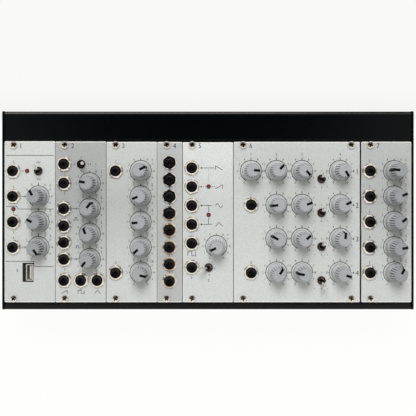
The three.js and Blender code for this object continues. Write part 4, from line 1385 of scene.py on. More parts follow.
# The power board, or bus, stands on the tray; the modules' headers are in one line on it
BUS_STANDOFF = 5.0
BUS_THICKNESS = 1.6
bus_bottom = tray_floor + BUS_STANDOFF
bus_top = bus_bottom + BUS_THICKNESS
bus_rear = tray_high.y - 3.5
header_line = bus_rear - 42.0


def solder_cone():
    return turned("solder", [(SOLDER_RADIUS, 0), (SOLDER_RADIUS * 0.75, -0.25), (SOLDER_RADIUS * 0.42, -0.8),
                             (0.22, -1.3)], sides=16, smooth_below=60)


def chip(drawing, x, y, level, down=True):
    """A small chip with seven legs on either side, on a board's lower or upper side."""
    sign = -1 if down else 1
    near, far = sorted((level + sign * 0.15, level + sign * CHIP.z))
    slab(drawing, (x, y), CHIP.xy, near, far, edge=0.2)
    low, high = sorted((level + sign * 0.02, level + sign * 0.45))
    leg_line = CHIP.y / 2 + 0.4
    for index in range(CHIP_LEGS):
        leg = x + (index - (CHIP_LEGS - 1) / 2) * CHIP_LEG_PITCH
        for side in (-1, 1):
            slab(drawing, (leg, y + side * leg_line), CHIP_LEG, low, high)


def solder_places(module):
    """Where the legs of a module's controls come through its board."""
    places = []
    for place in controls[module]["jack"]:
        places += [place + Vector((0, side * JACK_LUG_LINE)) for side in (-1, 1)]
    for place in knobs.get(module, []):
        places += [place + Vector((step * POT_LUG_PITCH, POT_LUG_LINE)) for step in (-1, 0, 1)]
    for place, sideways in toggles.get(module, []):
        along = Vector((1, 0)) if sideways else Vector((0, 1))
        places += [place + along * step * TOGGLE_LUG_PITCH for step in (-1, 0, 1)]
    return places


def boxed_header(drawing, x, low, high, open_up):
    """A header on the line of headers: a shroud with an open side, round two rows of pins."""
    thick = (high - low) * HEADER_FLOOR_SHARE
    floor_levels = (low, low + thick) if open_up else (high - thick, high)
    slab(drawing, (x, header_line), HEADER.xy, *floor_levels, edge=0.2)
    for side in (-1, 1):
        across, along = ((HEADER.xy - Vector((HEADER_WALL, HEADER_WALL))) / 2) * side
        slab(drawing, (x + across, header_line), (HEADER_WALL, HEADER.y), low, high, edge=0.2)
        slab(drawing, (x, header_line + along), (HEADER.x, HEADER_WALL), low, high, edge=0.2)


def header_pins(drawing, x, low, high):
    for column in range(PIN_COLUMNS):
        for row in (-0.5, 0.5):
            middle = (x + (column - (PIN_COLUMNS - 1) / 2) * PIN_PITCH, header_line + row * PIN_PITCH)
            slab(drawing, middle, (PIN_WIDTH, PIN_WIDTH), low, high, edge=0.1, segments=1)


# %% Ribbon cables and the boards themselves
WIRES = 10
WIRE_PITCH = 1.27
WIRE_RADIUS = 0.48
RIBBON_BOW = 9.0
RIBBON_BOW_POWER = 0.7
RIBBON_SETBACK = 3.0
RIBBON_STEPS = 20
# The chips' lines on a module's board, as distances from its front edge
CHIP_LINES = (12, 30, 48)


def ribbon_cable(x, y, top, bottom):
    """Ten joined wires in a bow from a header down to a plug."""
    section = []
    for wire in range(WIRES):
        middle = (wire - (WIRES - 1) / 2) * WIRE_PITCH
        section += [(middle + WIRE_PITCH / 2 * math.cos(angle), WIRE_RADIUS * max(0.45, math.sin(angle)))
                    for angle in (math.radians(step) for step in (180, 135, 90, 45))]
    section += [(-across, -thick) for across, thick in section]

    def bow(step):
        angle = math.pi * min(max(step / RIBBON_STEPS, 0), 1)
        return Vector((y - RIBBON_SETBACK - RIBBON_BOW * math.sin(angle) ** RIBBON_BOW_POWER,
                       (top + bottom) / 2 + (top - bottom) / 2 * math.cos(angle)))

    rows = []
    for step in range(RIBBON_STEPS + 1):
        tangent = (bow(step + 0.5) - bow(step - 0.5)).normalized()
        normal = Vector((-tangent.y, tangent.x))
        rows.append([(x + across, *(bow(step) + normal * thick)) for across, thick in section])
    drawing = bmesh.new()
    skin(drawing, rows)
    return finished("ribbon", drawing, smooth_below=60)


def module_board(module):
    """A board with its solder, chips and header, and the ribbon cable down to the power board."""
    low, high = size_of(f"board_{module}")
    middle = (low.x + high.x) / 2
    outline = rounded_rectangle((low.x, low.y), (high.x, high.y), 1.0)
    holes = [ring_points(place, 0.45, sides=10) for place in solder_places(module)]
    plate = filled_plate(f"board_plate_{module}", [outline, *holes], board_bottom, board_top, 0.08)
    add_piece(f"circuit_board_{module}", plate, CIRCUIT, replaces=[f"board_{module}"])
    cones = [placed(place.x, place.y, board_bottom) for place in solder_places(module)]
    add_copies(f"solder_{module}", [solder_mesh], cones, SOLDER)

    chips, shroud, pins, plug = bmesh.new(), bmesh.new(), bmesh.new(), bmesh.new()
    columns = max(1, int((high.x - low.x - 4) // (CHIP.x + CHIP_GAP)))
    for column in range(columns):
        x = middle + (column - (columns - 1) / 2) * (CHIP.x + CHIP_GAP)
        for line in CHIP_LINES:
            chip(chips, x, low.y + line, board_bottom)
    header_bottom = board_bottom - HEADER.z
    plug_bottom = bus_top + HEADER.z + CONTROL_GAP
    plug_top = plug_bottom + PLUG_HEIGHT
    boxed_header(shroud, middle, header_bottom, board_bottom - 0.02, open_up=False)
    header_pins(pins, middle, header_bottom + 1.5, board_bottom - 0.5)
    slab(plug, (middle, header_line), HEADER.xy, plug_bottom, plug_top, edge=0.5)
    slab(plug, (middle, header_line), HEADER.xy - Vector((2.6, 2.6)), header_bottom - 0.9,
         header_bottom + 4.5, edge=0.4)
    cable = ribbon_cable(middle, header_line, header_bottom - 0.2, plug_top + 0.3)
    add_drawn(f"chips_{module}", chips, BLACK_PLASTIC)
    add_drawn(f"header_{module}", shroud, BLACK_PLASTIC)
    add_drawn(f"header_pins_{module}", pins, NICKEL)
    add_drawn(f"ribbon_plugs_{module}", plug, BLACK_PLASTIC)
    add_piece(f"ribbon_cable_{module}", cable, RIBBON_GREY)


solder_mesh = solder_cone()
for module in MODULES:
    module_board(module)
print(f"boards: {len(MODULES)}, top at {board_top:.1f} mm, headers on the line y {header_line:.2f}")

# %% [markdown]
# ## The case
# The case is bent and extruded sheet: a front rail with a low lip, a rear housing with a broad band, a tray,
# and two thin cheeks that stand a little proud all round. Each is an outline run along the row. The rails
# have a groove for the panel screws. The outlines are drawn from the frame's levels. The band ends in a
# narrow slope with a painted highlight, a bright metal finish for the long highlight at the rear, and outside
# it lies a dark ledge, the top of the rear wall. The painted highlight fades toward the right end.

# %% Case sizes
LIP_THICKNESS = 4.1
LIP_ROUND = 0.5
HOUSING_WALL = 2.0
# The band's rear edge as distances in from the rear face and down from the top: ledge, riser, slope, top
REAR_EDGE = ((0, 1.5), (0.12, 1.35), (0.8, 1.3), (0.92, 0.7), (1.65, 0.28), (2.3, 0.06), (3.0, 0))
# The points of the rear edge between which the slope carries the painted highlight
HIGHLIGHT_SLOPE = slice(3, 5)
RAIL_HEIGHT = 10.0
GROOVE_WIDTH = 3.4
GROOVE_DEPTH = 7.0
TRAY_FLANGE = 6.0
TRAY_BEND = 1.2
CHEEK_CORNER = 2.0
EDGE_BREAK = 0.2
EDGE_ROUND = 0.4
rail_top = back - CONTROL_GAP
front_low, front_high = size_of("front_rail")
rear_low, rear_high = size_of("rear_housing")
cheek_inner = size_of("right_cheek")[0].x
screw_lines = sorted({round(place.y, 3) for place in controls["filter"]["screw"]})


def screw_groove(line):
    """The corners of the groove in a rail under a line of panel screws, from its rear to its front."""
    rear, front = line + GROOVE_WIDTH / 2, line - GROOVE_WIDTH / 2
    floor_level = rail_top - GROOVE_DEPTH
    return [(rear, rail_top), (rear, floor_level), (front, floor_level), (front, rail_top)]


def swept(name, outline, ends, edge=EDGE_BREAK, sharper_than=50, smooth_below=SMOOTH_BELOW):
    """An outline in Y and Z, run along the row between two ends."""
    drawing = bmesh.new()
    skin(drawing, [[(end, y, z) for y, z in outline] for end in ends])
    faced_outward(drawing)
    broken_edges(drawing, edge, sharper_than)
    return finished(name, drawing, smooth_below)


# %% Rails, housing and tray
# How bright the painted highlight on the rear slope is, at shares of the row from left to right
HIGHLIGHT_SHARES = ((0.0, 0.22), (0.62, 0.2), (0.8, 0.07), (1.0, 0.04))
INLET = Vector((9.0, 16.0, 11.0))
INLET_FROM_RIGHT = 62.0
# The gap between the panels' rear edge and the band
BAND_GAP = 1.2


def front_rail():
    """The rail under the panels' front edge, with its thin wall down to the tray and its lip."""
    wall = front_low.y + SHEET + CONTROL_GAP
    lip_inner = front_low.y + LIP_THICKNESS
    lip_bottom = tray_high.z + CONTROL_GAP
    inner_edge = front_high.y
    return swept("front_rail", [
        (front_low.y, lip_bottom), (wall, lip_bottom), (wall, rail_top - RAIL_HEIGHT),
        (inner_edge, rail_top - RAIL_HEIGHT), (inner_edge, rail_top), *screw_groove(screw_lines[0]),
        (lip_inner, rail_top),
        *arc((lip_inner - EDGE_ROUND, face - EDGE_ROUND), EDGE_ROUND, 0, 90, steps=3),
        *arc((front_low.y + LIP_ROUND, face - LIP_ROUND), LIP_ROUND, 90, 180, steps=6),
    ], (front_low.x, front_high.x))


def inlet_middle():
    """The middle of the supply inlet's opening in the rear wall."""
    return Vector((cheek_inner - INLET_FROM_RIGHT, rear_high.y, bus_top - BUS_THICKNESS / 2 + INLET.z / 2))


def rear_housing():
    """The band with its painted highlight on the rear slope, the rear wall with the inlet's window, and the
    rear rail.
    """
    bottom, inner_edge = rear_low.z, rear_low.y
    band_front = row_high.y + BAND_GAP
    inside, rear_inside = band_front + HOUSING_WALL, rear_high.y - HOUSING_WALL
    under = face - HOUSING_WALL
    ending = [(rear_high.y - inward, face - down) for inward, down in REAR_EDGE]
    shell = swept("rear_housing", [
        (rear_high.y, bottom), *ending, (band_front, face), (band_front, rail_top),
        *screw_groove(screw_lines[-1]), (inner_edge, rail_top), (inner_edge, rail_top - RAIL_HEIGHT),
        (inside, rail_top - RAIL_HEIGHT), (inside, under),
        *arc((rear_inside - EDGE_ROUND, under - EDGE_ROUND), EDGE_ROUND, 90, 0, steps=3),
        (rear_inside, bottom),
    ], (rear_low.x, rear_high.x), edge=0.08, smooth_below=25)
    window = bmesh.new()
    middle = inlet_middle()
    reach = Vector((INLET.x / 2 + CONTROL_GAP, HOUSING_WALL + 1, INLET.z / 2 + CONTROL_GAP))
    block(window, middle - reach, middle + reach, edge=0.3)
    housing = cut(shell, finished("window", window))
    # The slope's upward faces get the painted highlight's bright metal finish
    outer, inner = (rear_high.y - inward for inward, _ in REAR_EDGE[HIGHLIGHT_SLOPE])
    for flat in housing.polygons:
        place = flat.center / MM
        if flat.normal.z > 0.3 and inner < place.y < outer and place.z > face - 1:
            flat.material_index = 1
    housing.materials.append(POWDER_COAT)
    housing.materials.append(REAR_HIGHLIGHT_COAT)
    return housing


def worn_coat():
    """A painted highlight on the rear slope: bright metal, less and less toward the right end."""
    material = finish("worn_coat", UNPAINTED, UNPAINTED, roughness=0.25, metallic=1.0, size=0.5,
                      bump=0.001)
    tree = material.node_tree
    across = part_way(tree, object_place(tree, "X"), row_low.x, row_high.x)
    return recoloured(material, ramp(tree, across, *tinted(HIGHLIGHT_SHARES)))


def bottom_tray():
    """Bent sheet: a floor, a front wall and a low rear flange."""
    front, rear, low = tray_low.y, tray_high.y, tray_low.z
    return swept("bottom_tray", [
        *arc((rear - TRAY_BEND, low + TRAY_BEND), TRAY_BEND, 270, 360, steps=6),
        (rear, low + TRAY_FLANGE), (rear - SHEET, low + TRAY_FLANGE), (rear - SHEET, low + SHEET),
        (front + SHEET, low + SHEET), (front + SHEET, tray_high.z), (front, tray_high.z),
        *arc((front + TRAY_BEND, low + TRAY_BEND), TRAY_BEND, 180, 270, steps=6),
    ], (tray_low.x, tray_high.x))


REAR_HIGHLIGHT_COAT = worn_coat()
add_piece("front_rail_lip", front_rail(), POWDER_COAT, replaces=["front_rail"])
add_piece("rear_band_housing", rear_housing(), POWDER_COAT, replaces=["rear_housing"])
add_piece("tray", bottom_tray(), POWDER_COAT, replaces=["bottom_tray"])
print(f"case: depth {rear_high.y - front_low.y:.2f} mm, screw lines {screw_lines}")

# %% [markdown]
# ### Cheeks, case screws and feet
# The cheeks are plates with rounded corners, held by countersunk screws whose heads lie flush. A countersink
# is a real cone in the plate, so both the screw and its seat are turned shapes. The feet are two rubber
# strips with tapered sides and fine ribs, so that they grip.

# %% Cheeks and feet
CASE_SCREW_HEAD = 2.9
CASE_SCREW_SEAT = 0.1
COUNTERSINK = 1.2
FOOT_TAPER = 1.5
FOOT_RIBS = 4
FOOT_RIB_DEPTH = 0.4
# Half the width of a rib's groove at its mouth and at its bottom
FOOT_GROOVE = (0.5, 0.3)
TRAY_SCREW_COLUMNS = (-140, 0, 140)
TRAY_SCREW_INSET = 34


def cheek_screw_places():
    """Where the cheeks' screws go: two in the front rail, two in the housing and one in the tray."""
    return [Vector((front_low.y + 9.5, rail_top - 5)), Vector((front_low.y + 9.5, 14)),
            Vector((0, 8.5)), Vector((rear_high.y - 12, 14)), Vector((rear_high.y - 24, rail_top - 5))]


def countersunk_screw():
    """A flush screw; its head's flat lies at zero height and it points down."""
    blank = turned("case_screw", [
        (0.9, -5.0), (1.3, -4.6), (1.3, -COUNTERSINK - 0.2), (CASE_SCREW_HEAD, -0.15),
        (CASE_SCREW_HEAD - 0.1, 0),
    ], sides=36)
    return cut(blank, cross_recess(0.0))


def countersink():
    """The tool that cuts a screw's hole and seat."""
    seat = CASE_SCREW_HEAD + CASE_SCREW_SEAT
    profile = [(1.5, -4.0), (1.5, -COUNTERSINK - 0.1), (seat, -0.1), (seat, 1.0)]
    return turned("countersink", profile, sides=36)


def cheek(node):
    """A cheek's plate with its seats, and the screws in them with their heads to the outside."""
    low, high = size_of(node)
    outline = rounded_rectangle((low.y, low.z), (high.y, high.z), CHEEK_CORNER, steps=8)
    plate = swept(f"{node}_plate", outline, (low.x, high.x), edge=0.25)
    outer, turn = (low.x, -math.pi / 2) if node.startswith("left") else (high.x, math.pi / 2)
    spots = [placed(outer, place.x, place.y, turn, axis="Y") for place in cheek_screw_places()]
    seats = copies("seats", [(countersink_mesh, spot) for spot in spots])
    add_piece(f"{node}_plate", cut(plate, seats), CHEEK_COAT, replaces=[node])
    add_copies(f"{node}_screws", [case_screw_mesh], spots, BLACK_SCREW)


def foot_strip(node):
    """A strip with tapered sides and grooves between its ribs."""
    low, high = size_of(node)
    points = [(low.y, high.z), (low.y + FOOT_TAPER, low.z)]
    width = high.y - low.y - 2 * FOOT_TAPER
    mouth, bottom = FOOT_GROOVE
    for rib in range(1, FOOT_RIBS):
        middle = low.y + FOOT_TAPER + width * rib / FOOT_RIBS
        points += [(middle - mouth, low.z), (middle - bottom, low.z + FOOT_RIB_DEPTH),
                   (middle + bottom, low.z + FOOT_RIB_DEPTH), (middle + mouth, low.z)]
    points += [(high.y - FOOT_TAPER, low.z), (high.y, high.z)]
    return swept(f"{node}_rubber", points, (low.x, high.x), edge=0.12, sharper_than=35)


BLACK_SCREW = finish("black_screw", (0.008, 0.008, 0.009), (0.02, 0.02, 0.022), roughness=0.3,
                     metallic=0.6, size=0.5, bump=0.001)
case_screw_mesh, countersink_mesh = countersunk_screw(), countersink()
for node in ("left_cheek", "right_cheek"):
    cheek(node)
for node in ("front_foot_strip", "rear_foot_strip"):
    add_piece(f"{node}_rubber", foot_strip(node), RUBBER, replaces=[node])

# Screws that hold the tray to its rails and posts, seen from below
under = [placed(x, y, tray_low.z, math.pi, axis="X") for x in TRAY_SCREW_COLUMNS
         for y in (tray_low.y + TRAY_SCREW_INSET, tray_high.y - TRAY_SCREW_INSET)]
add_copies("tray_screws", [case_screw_mesh], under, BLACK_SCREW)
print(f"cheeks: {len(cheek_screw_places())} screws each, {len(under)} under the tray")

# %% [markdown]
# ## Power board
# On the tray's floor a long board shares out the supply: a boxed header for each module, two smoothing
# capacitors, a few chips, and the inlet in the rear wall with its centre pin. It stands on metal posts.

# %% Power board
POST = 6.0
POST_INSET = 4.0
BUS_DEPTH = 62.0
BUS_END_INSET = 12.0
CAPACITOR = Vector((5.0, 16.0))
CAPACITOR_INSET = 12.0
CAPACITOR_STEPS = (-16, -30)
POWER_CHIP_LINE = header_line + 16
BORE = 3.0
BORE_DEPTH = 9.0
PIN = 0.95


def inlet():
    """The inlet's body about its rear face; the bore opens to the rear."""
    middle = inlet_middle()
    drawing = bmesh.new()
    low = Vector((middle.x - INLET.x / 2, middle.y - INLET.y, middle.z - INLET.z / 2))
    block(drawing, low, (middle.x + INLET.x / 2, middle.y, middle.z + INLET.z / 2), edge=0.35)
    rearward = placed(middle.x, middle.y, middle.z, -math.pi / 2, axis="X")
    tool = turned("inlet_bore", [(BORE, -BORE_DEPTH), (BORE, 1.0)], sides=40)
    tool.transform(rearward)
    pin = turned("inlet_pin", [(PIN, -BORE_DEPTH - 0.3), (PIN, -1.6), (PIN * 0.7, -1.2), (0.2, -1.0)],
                 sides=24)
    outer, inner, foot = BORE - 0.02, BORE - 0.3, 0.2 - BORE_DEPTH
    sleeve = turned("inlet_sleeve", [
        (outer, foot), (outer, -0.4), (inner, -0.3), (inner, foot), (outer, foot)], sides=40)
    add_piece("supply_inlet_body", cut(finished("inlet_body", drawing), tool), BLACK_PLASTIC)
    add_copies("supply_inlet_pin", [pin], [rearward], NICKEL)
    add_copies("supply_inlet_sleeve", [sleeve], [rearward], NICKEL)


def power_board():
    """The board on its posts, with a header for each module, its chips and its capacitors."""
    end = cheek_inner - BUS_END_INSET
    front = bus_rear - BUS_DEPTH
    plate = filled_plate("power_plate", [rounded_rectangle((-end, front), (end, bus_rear), 1.5)],
                         bus_bottom, bus_top, 0.08)
    add_piece("power_board_plate", plate, CIRCUIT, replaces=["power_board"])
    post_end = POST_INSET + POST / 2
    posts = []
    for x in (-end + post_end, 0, end - post_end):
        for y in (front + post_end, bus_rear - post_end):
            posts.append((post_mesh, placed(x, y, tray_floor + 0.02)))
            posts.append((screw_mesh, placed(x, y, bus_top, hand.uniform(0, 1.5))))
    add_piece("power_board_posts", copies("posts", posts), NICKEL)
    shrouds, pins, chips = bmesh.new(), bmesh.new(), bmesh.new()
    for module in MODULES:
        low, high = size_of(f"board_{module}")
        middle = (low.x + high.x) / 2
        boxed_header(shrouds, middle, bus_top + 0.02, bus_top + HEADER.z, open_up=True)
        header_pins(pins, middle, bus_top + 0.3, bus_top + HEADER.z - 1.5)
        if module != "multiple":
            chip(chips, middle, POWER_CHIP_LINE, bus_top, down=False)
    add_drawn("power_headers", shrouds, BLACK_PLASTIC)
    add_drawn("power_header_pins", pins, NICKEL)
    add_drawn("power_chips", chips, BLACK_PLASTIC)
    cans = [placed(inlet_middle().x + step, bus_rear - CAPACITOR_INSET, bus_top) for step in CAPACITOR_STEPS]
    add_copies("power_capacitors", [capacitor_mesh], cans, BLACK_PLASTIC)


capacitor_mesh = turned("capacitor", [
    (CAPACITOR.x - 0.5, 0), (CAPACITOR.x, 0.4), (CAPACITOR.x, 1.8), (CAPACITOR.x - 0.35, 2.3),
    (CAPACITOR.x, 2.8), (CAPACITOR.x, CAPACITOR.y - 0.5), (CAPACITOR.x - 0.5, CAPACITOR.y),
    (CAPACITOR.x - 1.0, CAPACITOR.y - 0.1), (CAPACITOR.x - 1.1, CAPACITOR.y - 0.4)], sides=40)
post_mesh = turned("post", [(2.9, 0), (3.0, 0.2), (3.0, BUS_STANDOFF - 0.25), (2.9, BUS_STANDOFF - 0.05)],
                   sides=48, shape=six_flats(2.75))
power_board()
inlet()
print(f"power board: {2 * (cheek_inner - BUS_END_INSET):.0f} mm long, its top at {bus_top:.1f} mm")

# %% [markdown]
# ## Printing
# The panels are screen printed: scales round the knobs, lines that show the signal's way, wave shapes and
# plain numbers. Ink is a real layer here, a few hundredths of a millimetre thick, so that it shows in every
# view. A line is a ribbon with mitred corners. Digits come from Blender's own font
# as curves, are filled once for each text and then copied. One mesh holds all the ink of one panel.

# %% Ink lines, dots and digits
INK_LOW = -0.01
INK_HIGH = 0.03
LINE = 0.42
ink = bmesh.new()
text_meshes = {}


def draw_line(points, width=LINE):
    """A flat ribbon along points on the panel's face, with mitred corners."""
    points = [Vector(point) for point in points]
    ways = [(after - before).normalized() for before, after in zip(points, points[1:])]
    rings = []
    for point, into, out in zip(points, ways[:1] + ways, ways + ways[-1:]):
        mitre = Vector((-(into + out).y, (into + out).x)).normalized()
        stretch = 1 / max(0.35, mitre.dot(Vector((-into.y, into.x))))
        side = mitre * stretch * width / 2
        rings.append([(*(point + sign * side), face + level) for sign, level in (
            (1, INK_LOW), (-1, INK_LOW), (-1, INK_HIGH), (1, INK_HIGH))])
    skin(ink, rings)


def draw_dot(place, radius=0.45, sides=16):
    outline = ring_points(Vector(place), radius, sides)
    skin(ink, [[(x, y, face + level) for x, y in outline] for level in (INK_LOW, INK_HIGH)])


def text_mesh(words):
    """A thin solid of the words, one unit high, with its middle at zero."""
    if words not in text_meshes:
        curve = bpy.data.curves.new("digits", "FONT")
        curve.body = words
        curve.resolution_u = 3
        curve.extrude = 0.5
        writing = bpy.data.objects.new("digits", curve)
        scene.collection.objects.link(writing)
        graph = bpy.context.evaluated_depsgraph_get()
        mesh = bpy.data.meshes.new_from_object(writing.evaluated_get(graph))
        bpy.data.objects.remove(writing)
        drawing = bmesh.new()
        drawing.from_mesh(mesh)
        bmesh.ops.remove_doubles(drawing, verts=drawing.verts[:], dist=1e-5)
        low = Vector(min(vert.co[axis] for vert in drawing.verts) for axis in range(3))
        high = Vector(max(vert.co[axis] for vert in drawing.verts) for axis in range(3))
        bmesh.ops.translate(drawing, verts=drawing.verts[:], vec=-(low + high) / 2)
        size = 1 / (high.y - low.y)
        bmesh.ops.scale(drawing, verts=drawing.verts[:], vec=(size, size, 1))
        drawing.to_mesh(mesh)
        drawing.free()
        text_meshes[words] = (mesh, (high.x - low.x) * size)
    return text_meshes[words]


def draw_text(words, place, height, align=0.0, weight=0.9):
    """Prints digits; align 0 centres them, 1 starts them at the place."""
    mesh, width = text_mesh(str(words))
    thickness = INK_HIGH - INK_LOW
    middle = (place[0] + align * width * height * weight / 2, place[1], face + INK_LOW + thickness / 2)
    size = Matrix.Diagonal((height * weight, height, thickness, 1))
    stamp(ink, mesh, Matrix.Translation(middle) @ size)


# %% Knob scales and wave shapes
SCALE_RADIUS = 8.5
SCALE_LINE = 0.48
SCALE_TURN = 150
SCALE_STEPS = 48
TICK_LINE = 0.34
TICK = 0.9
DIGIT_RADIUS = 10.75
DIGIT_HEIGHT = 1.75
WAVES = {
    "rising saw": ((0, 0), (1, 1), (1, 0)),
    "falling saw": ((0, 0), (0, 1), (1, 0)),
    "square": ((0, 0), (0, 1), (0.5, 1), (0.5, 0), (1, 0), (1, 1)),
    "pulse": ((0, 0), (0.35, 0), (0.35, 1), (0.65, 1), (0.65, 0), (1, 0)),
    "triangle": ((0, 0), (0.5, 1), (1, 0)),
    "sine": [(step / 16, 0.5 + 0.5 * math.sin(math.tau * step / 16)) for step in range(17)],
}


def on_circle(place, radius, degrees):
    """A point at some degrees clockwise from the rear."""
    angle = math.radians(degrees)
    return Vector((place[0] + radius * math.sin(angle), place[1] + radius * math.cos(angle)))


def draw_scale(place, tick):
    """The arc, the digits from 0 to 10 and the middle tick round one knob."""
    def on_scale(degrees, out=0.0):
        return on_circle(place, SCALE_RADIUS + out, degrees)
    turns = (SCALE_TURN * (2 * step / SCALE_STEPS - 1) for step in range(SCALE_STEPS + 1))
    draw_line([on_scale(turn) for turn in turns], SCALE_LINE)
    for digit in range(11):
        degrees = SCALE_TURN * (digit / 5 - 1)
        draw_line([on_scale(degrees), on_scale(degrees, TICK)], TICK_LINE)
        if digit != 5:
            draw_text(digit, on_circle(place, DIGIT_RADIUS, degrees), DIGIT_HEIGHT)
    draw_line([on_scale(0), on_scale(0, tick)], SCALE_LINE)


def draw_wave(kind, middle, width, height):
    low = Vector(middle) - Vector((width, height)) / 2
    draw_line([low + Vector((across * width, up * height)) for across, up in WAVES[kind]])


# %% [markdown]
# ### What each panel says
# Titles and labels become plain numbers: the module's own number beside its upper screw, and a number at
# each socket and knob. A link from a socket to its knob runs from the nut's edge to the scale. Most modules
# then add what is their own. The small numbers there are distances in millimetres from a control's middle,
# so the print follows the controls.

# %% Titles, labels and links
TITLE_HEIGHT = 3.8
LABEL_HEIGHT = 2.0
JACK_EDGE = 6.6
SOCKET_LABEL = Vector((0, 8.0))
KNOB_LABEL = Vector((9.3, 9.0))
# Modules whose sockets are just numbered, and those whose knob scales have a longer middle tick
NUMBERED = ("divider", "filter", "amplifier")
LONG_TICKS = ("controller", "filter")


def link(jack, knob, stop=9.0):
    """A line from a socket to the knob that belongs to it."""
    draw_line([(jack[0] + JACK_EDGE, jack[1]), (knob[0] - stop, jack[1])])


def draw_common(module):
    """The title, the scales and the plain numbers at knobs and sockets."""
    screw = controls[module]["screw"][0]
    draw_text(MODULES.index(module) + 1, (screw.x + 5.2, screw.y - 0.6), TITLE_HEIGHT, align=1)
    for index, place in enumerate(knobs.get(module, [])):
        draw_scale(place, tick=2.4 if module in LONG_TICKS else 1.6)
        if module != "filter":
            number = 2 ** index if module == "divider" else index + 1
            draw_text(number, place + KNOB_LABEL, LABEL_HEIGHT * 1.15)
    for index, place in enumerate(controls[module]["jack"] if module in NUMBERED else []):
        draw_text(index + 1, place + SOCKET_LABEL, LABEL_HEIGHT)


def slot_ends(module):
    """Where lines that cross a panel start and end."""
    low, high = size_of(f"panel_{module}")
    return low.x + 1.0, high.x - 1.0


def print_controller():
    left, right = slot_ends("controller")
    jacks, lights = controls["controller"]["jack"], controls["controller"]["light"]
    dials = knobs["controller"]
    switch = toggles["controller"][0][0]
    draw_line([(left, switch.y + 12.5), (right, switch.y + 12.5)])
    draw_line([(jacks[0].x + JACK_EDGE, jacks[0].y), (lights[0].x - 2.4, jacks[0].y)])
    draw_text("OFF", switch + Vector((0, 6.8)), 1.5)
    draw_text("ON", switch - Vector((0, 6.6)), 1.5)
    link(jacks[1], dials[0])
    link(jacks[3], dials[2])
    steps = (jacks[1].y - 7.9, jacks[1].y - 10.1)
    draw_line([(left, steps[0]), (left + 8.8, steps[0]), (left + 9.8, steps[1]), (right, steps[1])])
    draw_line([(lights[1].x, lights[1].y - 2.0), (lights[1].x, jacks[2].y + 6.8)])
    port = controls["controller"]["port"][0]
    steps = (port.y + 8.9, port.y + 4.8)
    draw_line([(left, steps[0]), (dials[2].x - 3.9, steps[0]), (dials[2].x - 3.3, steps[1]),
               (right, steps[1])])
    for place, offset in zip(jacks, (7.6, 7.6, -8.4, 7.6)):
        draw_text(jacks.index(place) + 1, place + Vector((0, offset)), LABEL_HEIGHT)
    draw_text(5, port + Vector((-8.6, 1.6)), LABEL_HEIGHT * 1.2)


def print_oscillator():
    jacks, dials = controls["oscillator"]["jack"], knobs["oscillator"]
    switch = toggles["oscillator"][0][0]
    link(jacks[2], dials[1])
    link(jacks[5], dials[3])
    draw_line([switch + Vector((0, 4.6)), switch + Vector((0, 6.1))])
    draw_dot(switch + Vector((-5.6, 0)))
    draw_dot(switch + Vector((0, -5.4)))
    for reach in (5.6, 7.4):
        draw_line([switch + Vector((reach, -0.8)), switch + Vector((reach, 0.8))])
    for row in (0, -1):
        draw_text(1 - row, switch + Vector((11.6, row * 5.1)), LABEL_HEIGHT)
    for index in (0, 1):
        draw_text(index + 1, jacks[index] + Vector((0.4, -7.9)), LABEL_HEIGHT)
    draw_text(6, jacks[5] + Vector((0.4, -8.0)), LABEL_HEIGHT)
    draw_wave("pulse", jacks[3] + Vector((9.4, 5.5)), 4.6, 2.2)
    draw_wave("pulse", jacks[4] + Vector((10.4, -3.6)), 4.6, 1.8)
    for jack, kind, width in zip(jacks[6:], ("rising saw", "square", "triangle"), (4.6, 5.0, 4.6)):
        draw_wave(kind, jack + Vector((0, -9.4)), width, 2.5)
    draw_dot(jacks[7] + Vector((-0.6, -7.2)), 0.3)
    draw_dot(jacks[7] + Vector((0.6, -7.2)), 0.3)


def print_multiple():
    jacks = controls["multiple"]["jack"]
    for index, (upper, lower) in enumerate(zip(jacks, jacks[1:])):
        if index != 3:
            middle = (upper.y + lower.y) / 2
            draw_line([(upper.x, middle - 0.5), (upper.x, middle + 0.5)], 0.5)


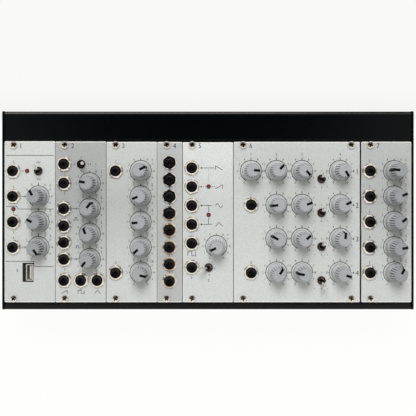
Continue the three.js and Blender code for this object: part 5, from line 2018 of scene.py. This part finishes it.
def print_modulator():
    jacks, lights = controls["modulator"]["jack"], controls["modulator"]["light"]
    dot_x = jacks[0].x + 7.6
    chain = lights[0].x
    glyph = chain + 8.3
    for jack, kind in zip(jacks, ("falling saw", "rising saw", "sine", "triangle")):
        draw_dot((dot_x, jack.y), 0.62)
        draw_wave(kind, (glyph, jack.y), 5.6, 3.2)
    draw_line([(dot_x, jacks[0].y), (chain + 4.8, jacks[0].y)])
    for first in range(6):
        start = dot_x + 1.4 + first * 1.75
        if abs(start - chain) > 1.8:
            draw_line([(start, jacks[1].y), (start + 0.9, jacks[1].y)])
    for jack in jacks[2:4]:
        draw_line([(dot_x, jack.y), (chain + 2.8, jack.y)])
    for step in range(6):
        draw_dot((chain, jacks[0].y - 1.6 - step * 1.9), 0.25)
    draw_line([(chain, jacks[2].y), (chain, lights[1].y + 2.2)])
    draw_line([(chain, lights[1].y - 2.2), (chain, jacks[3].y)])
    draw_wave("square", jacks[4] + Vector((0, -8.6)), 6.4, 3.2)
    draw_text(6, jacks[5] + Vector((0, -8.2)), LABEL_HEIGHT)
    switch = toggles["modulator"][0][0]
    draw_dot(switch + Vector((0.5, -6.0)), 0.5)
    draw_line([switch + Vector((5.0, -1.4)), switch + Vector((5.0, 0.0))])
    draw_text(2, switch + Vector((0, -10.2)), LABEL_HEIGHT * 1.15)


def print_filter():
    levels = knobs["filter"][3::3]
    for row, dial in enumerate(levels):
        draw_dot(dial + Vector((10.6, -0.4)), 0.55)
        draw_text(row + 1, dial + Vector((13.7, -0.4)), 3.9)
    for place, _ in toggles["filter"]:
        draw_text("1", place + Vector((0, 6.4)), 1.6)
        draw_text("2", place + Vector((0, -6.5)), 1.6)
        for side in (-5.3, 4.7):
            draw_line([place + Vector((side, 5.8)), place + Vector((side, 7.0))], 0.28)
            draw_dot(place + Vector((side, -6.5)), 0.28)
    columns = [knobs["filter"][index].x for index in (0, 1, 2)] + [levels[0].x]
    top = knobs["filter"][0].y
    for index, x in enumerate(columns):
        draw_text(index + 1, (x, top + 13.4), LABEL_HEIGHT * 1.1)


own_printing = {"controller": print_controller, "oscillator": print_oscillator, "multiple": print_multiple,
                "modulator": print_modulator, "filter": print_filter}
for module in MODULES:
    ink = bmesh.new()
    draw_common(module)
    if module in own_printing:
        own_printing[module]()
    count = len(ink.faces)
    add_drawn(f"printing_{module}", ink, INK)
    print(f"printing on {module}: {count} faces")

# %% [markdown]
# ## Counting the pieces
# The script ends by printing how many pieces it made.

# %% Count the pieces
print(f"pieces: {len(made)}")
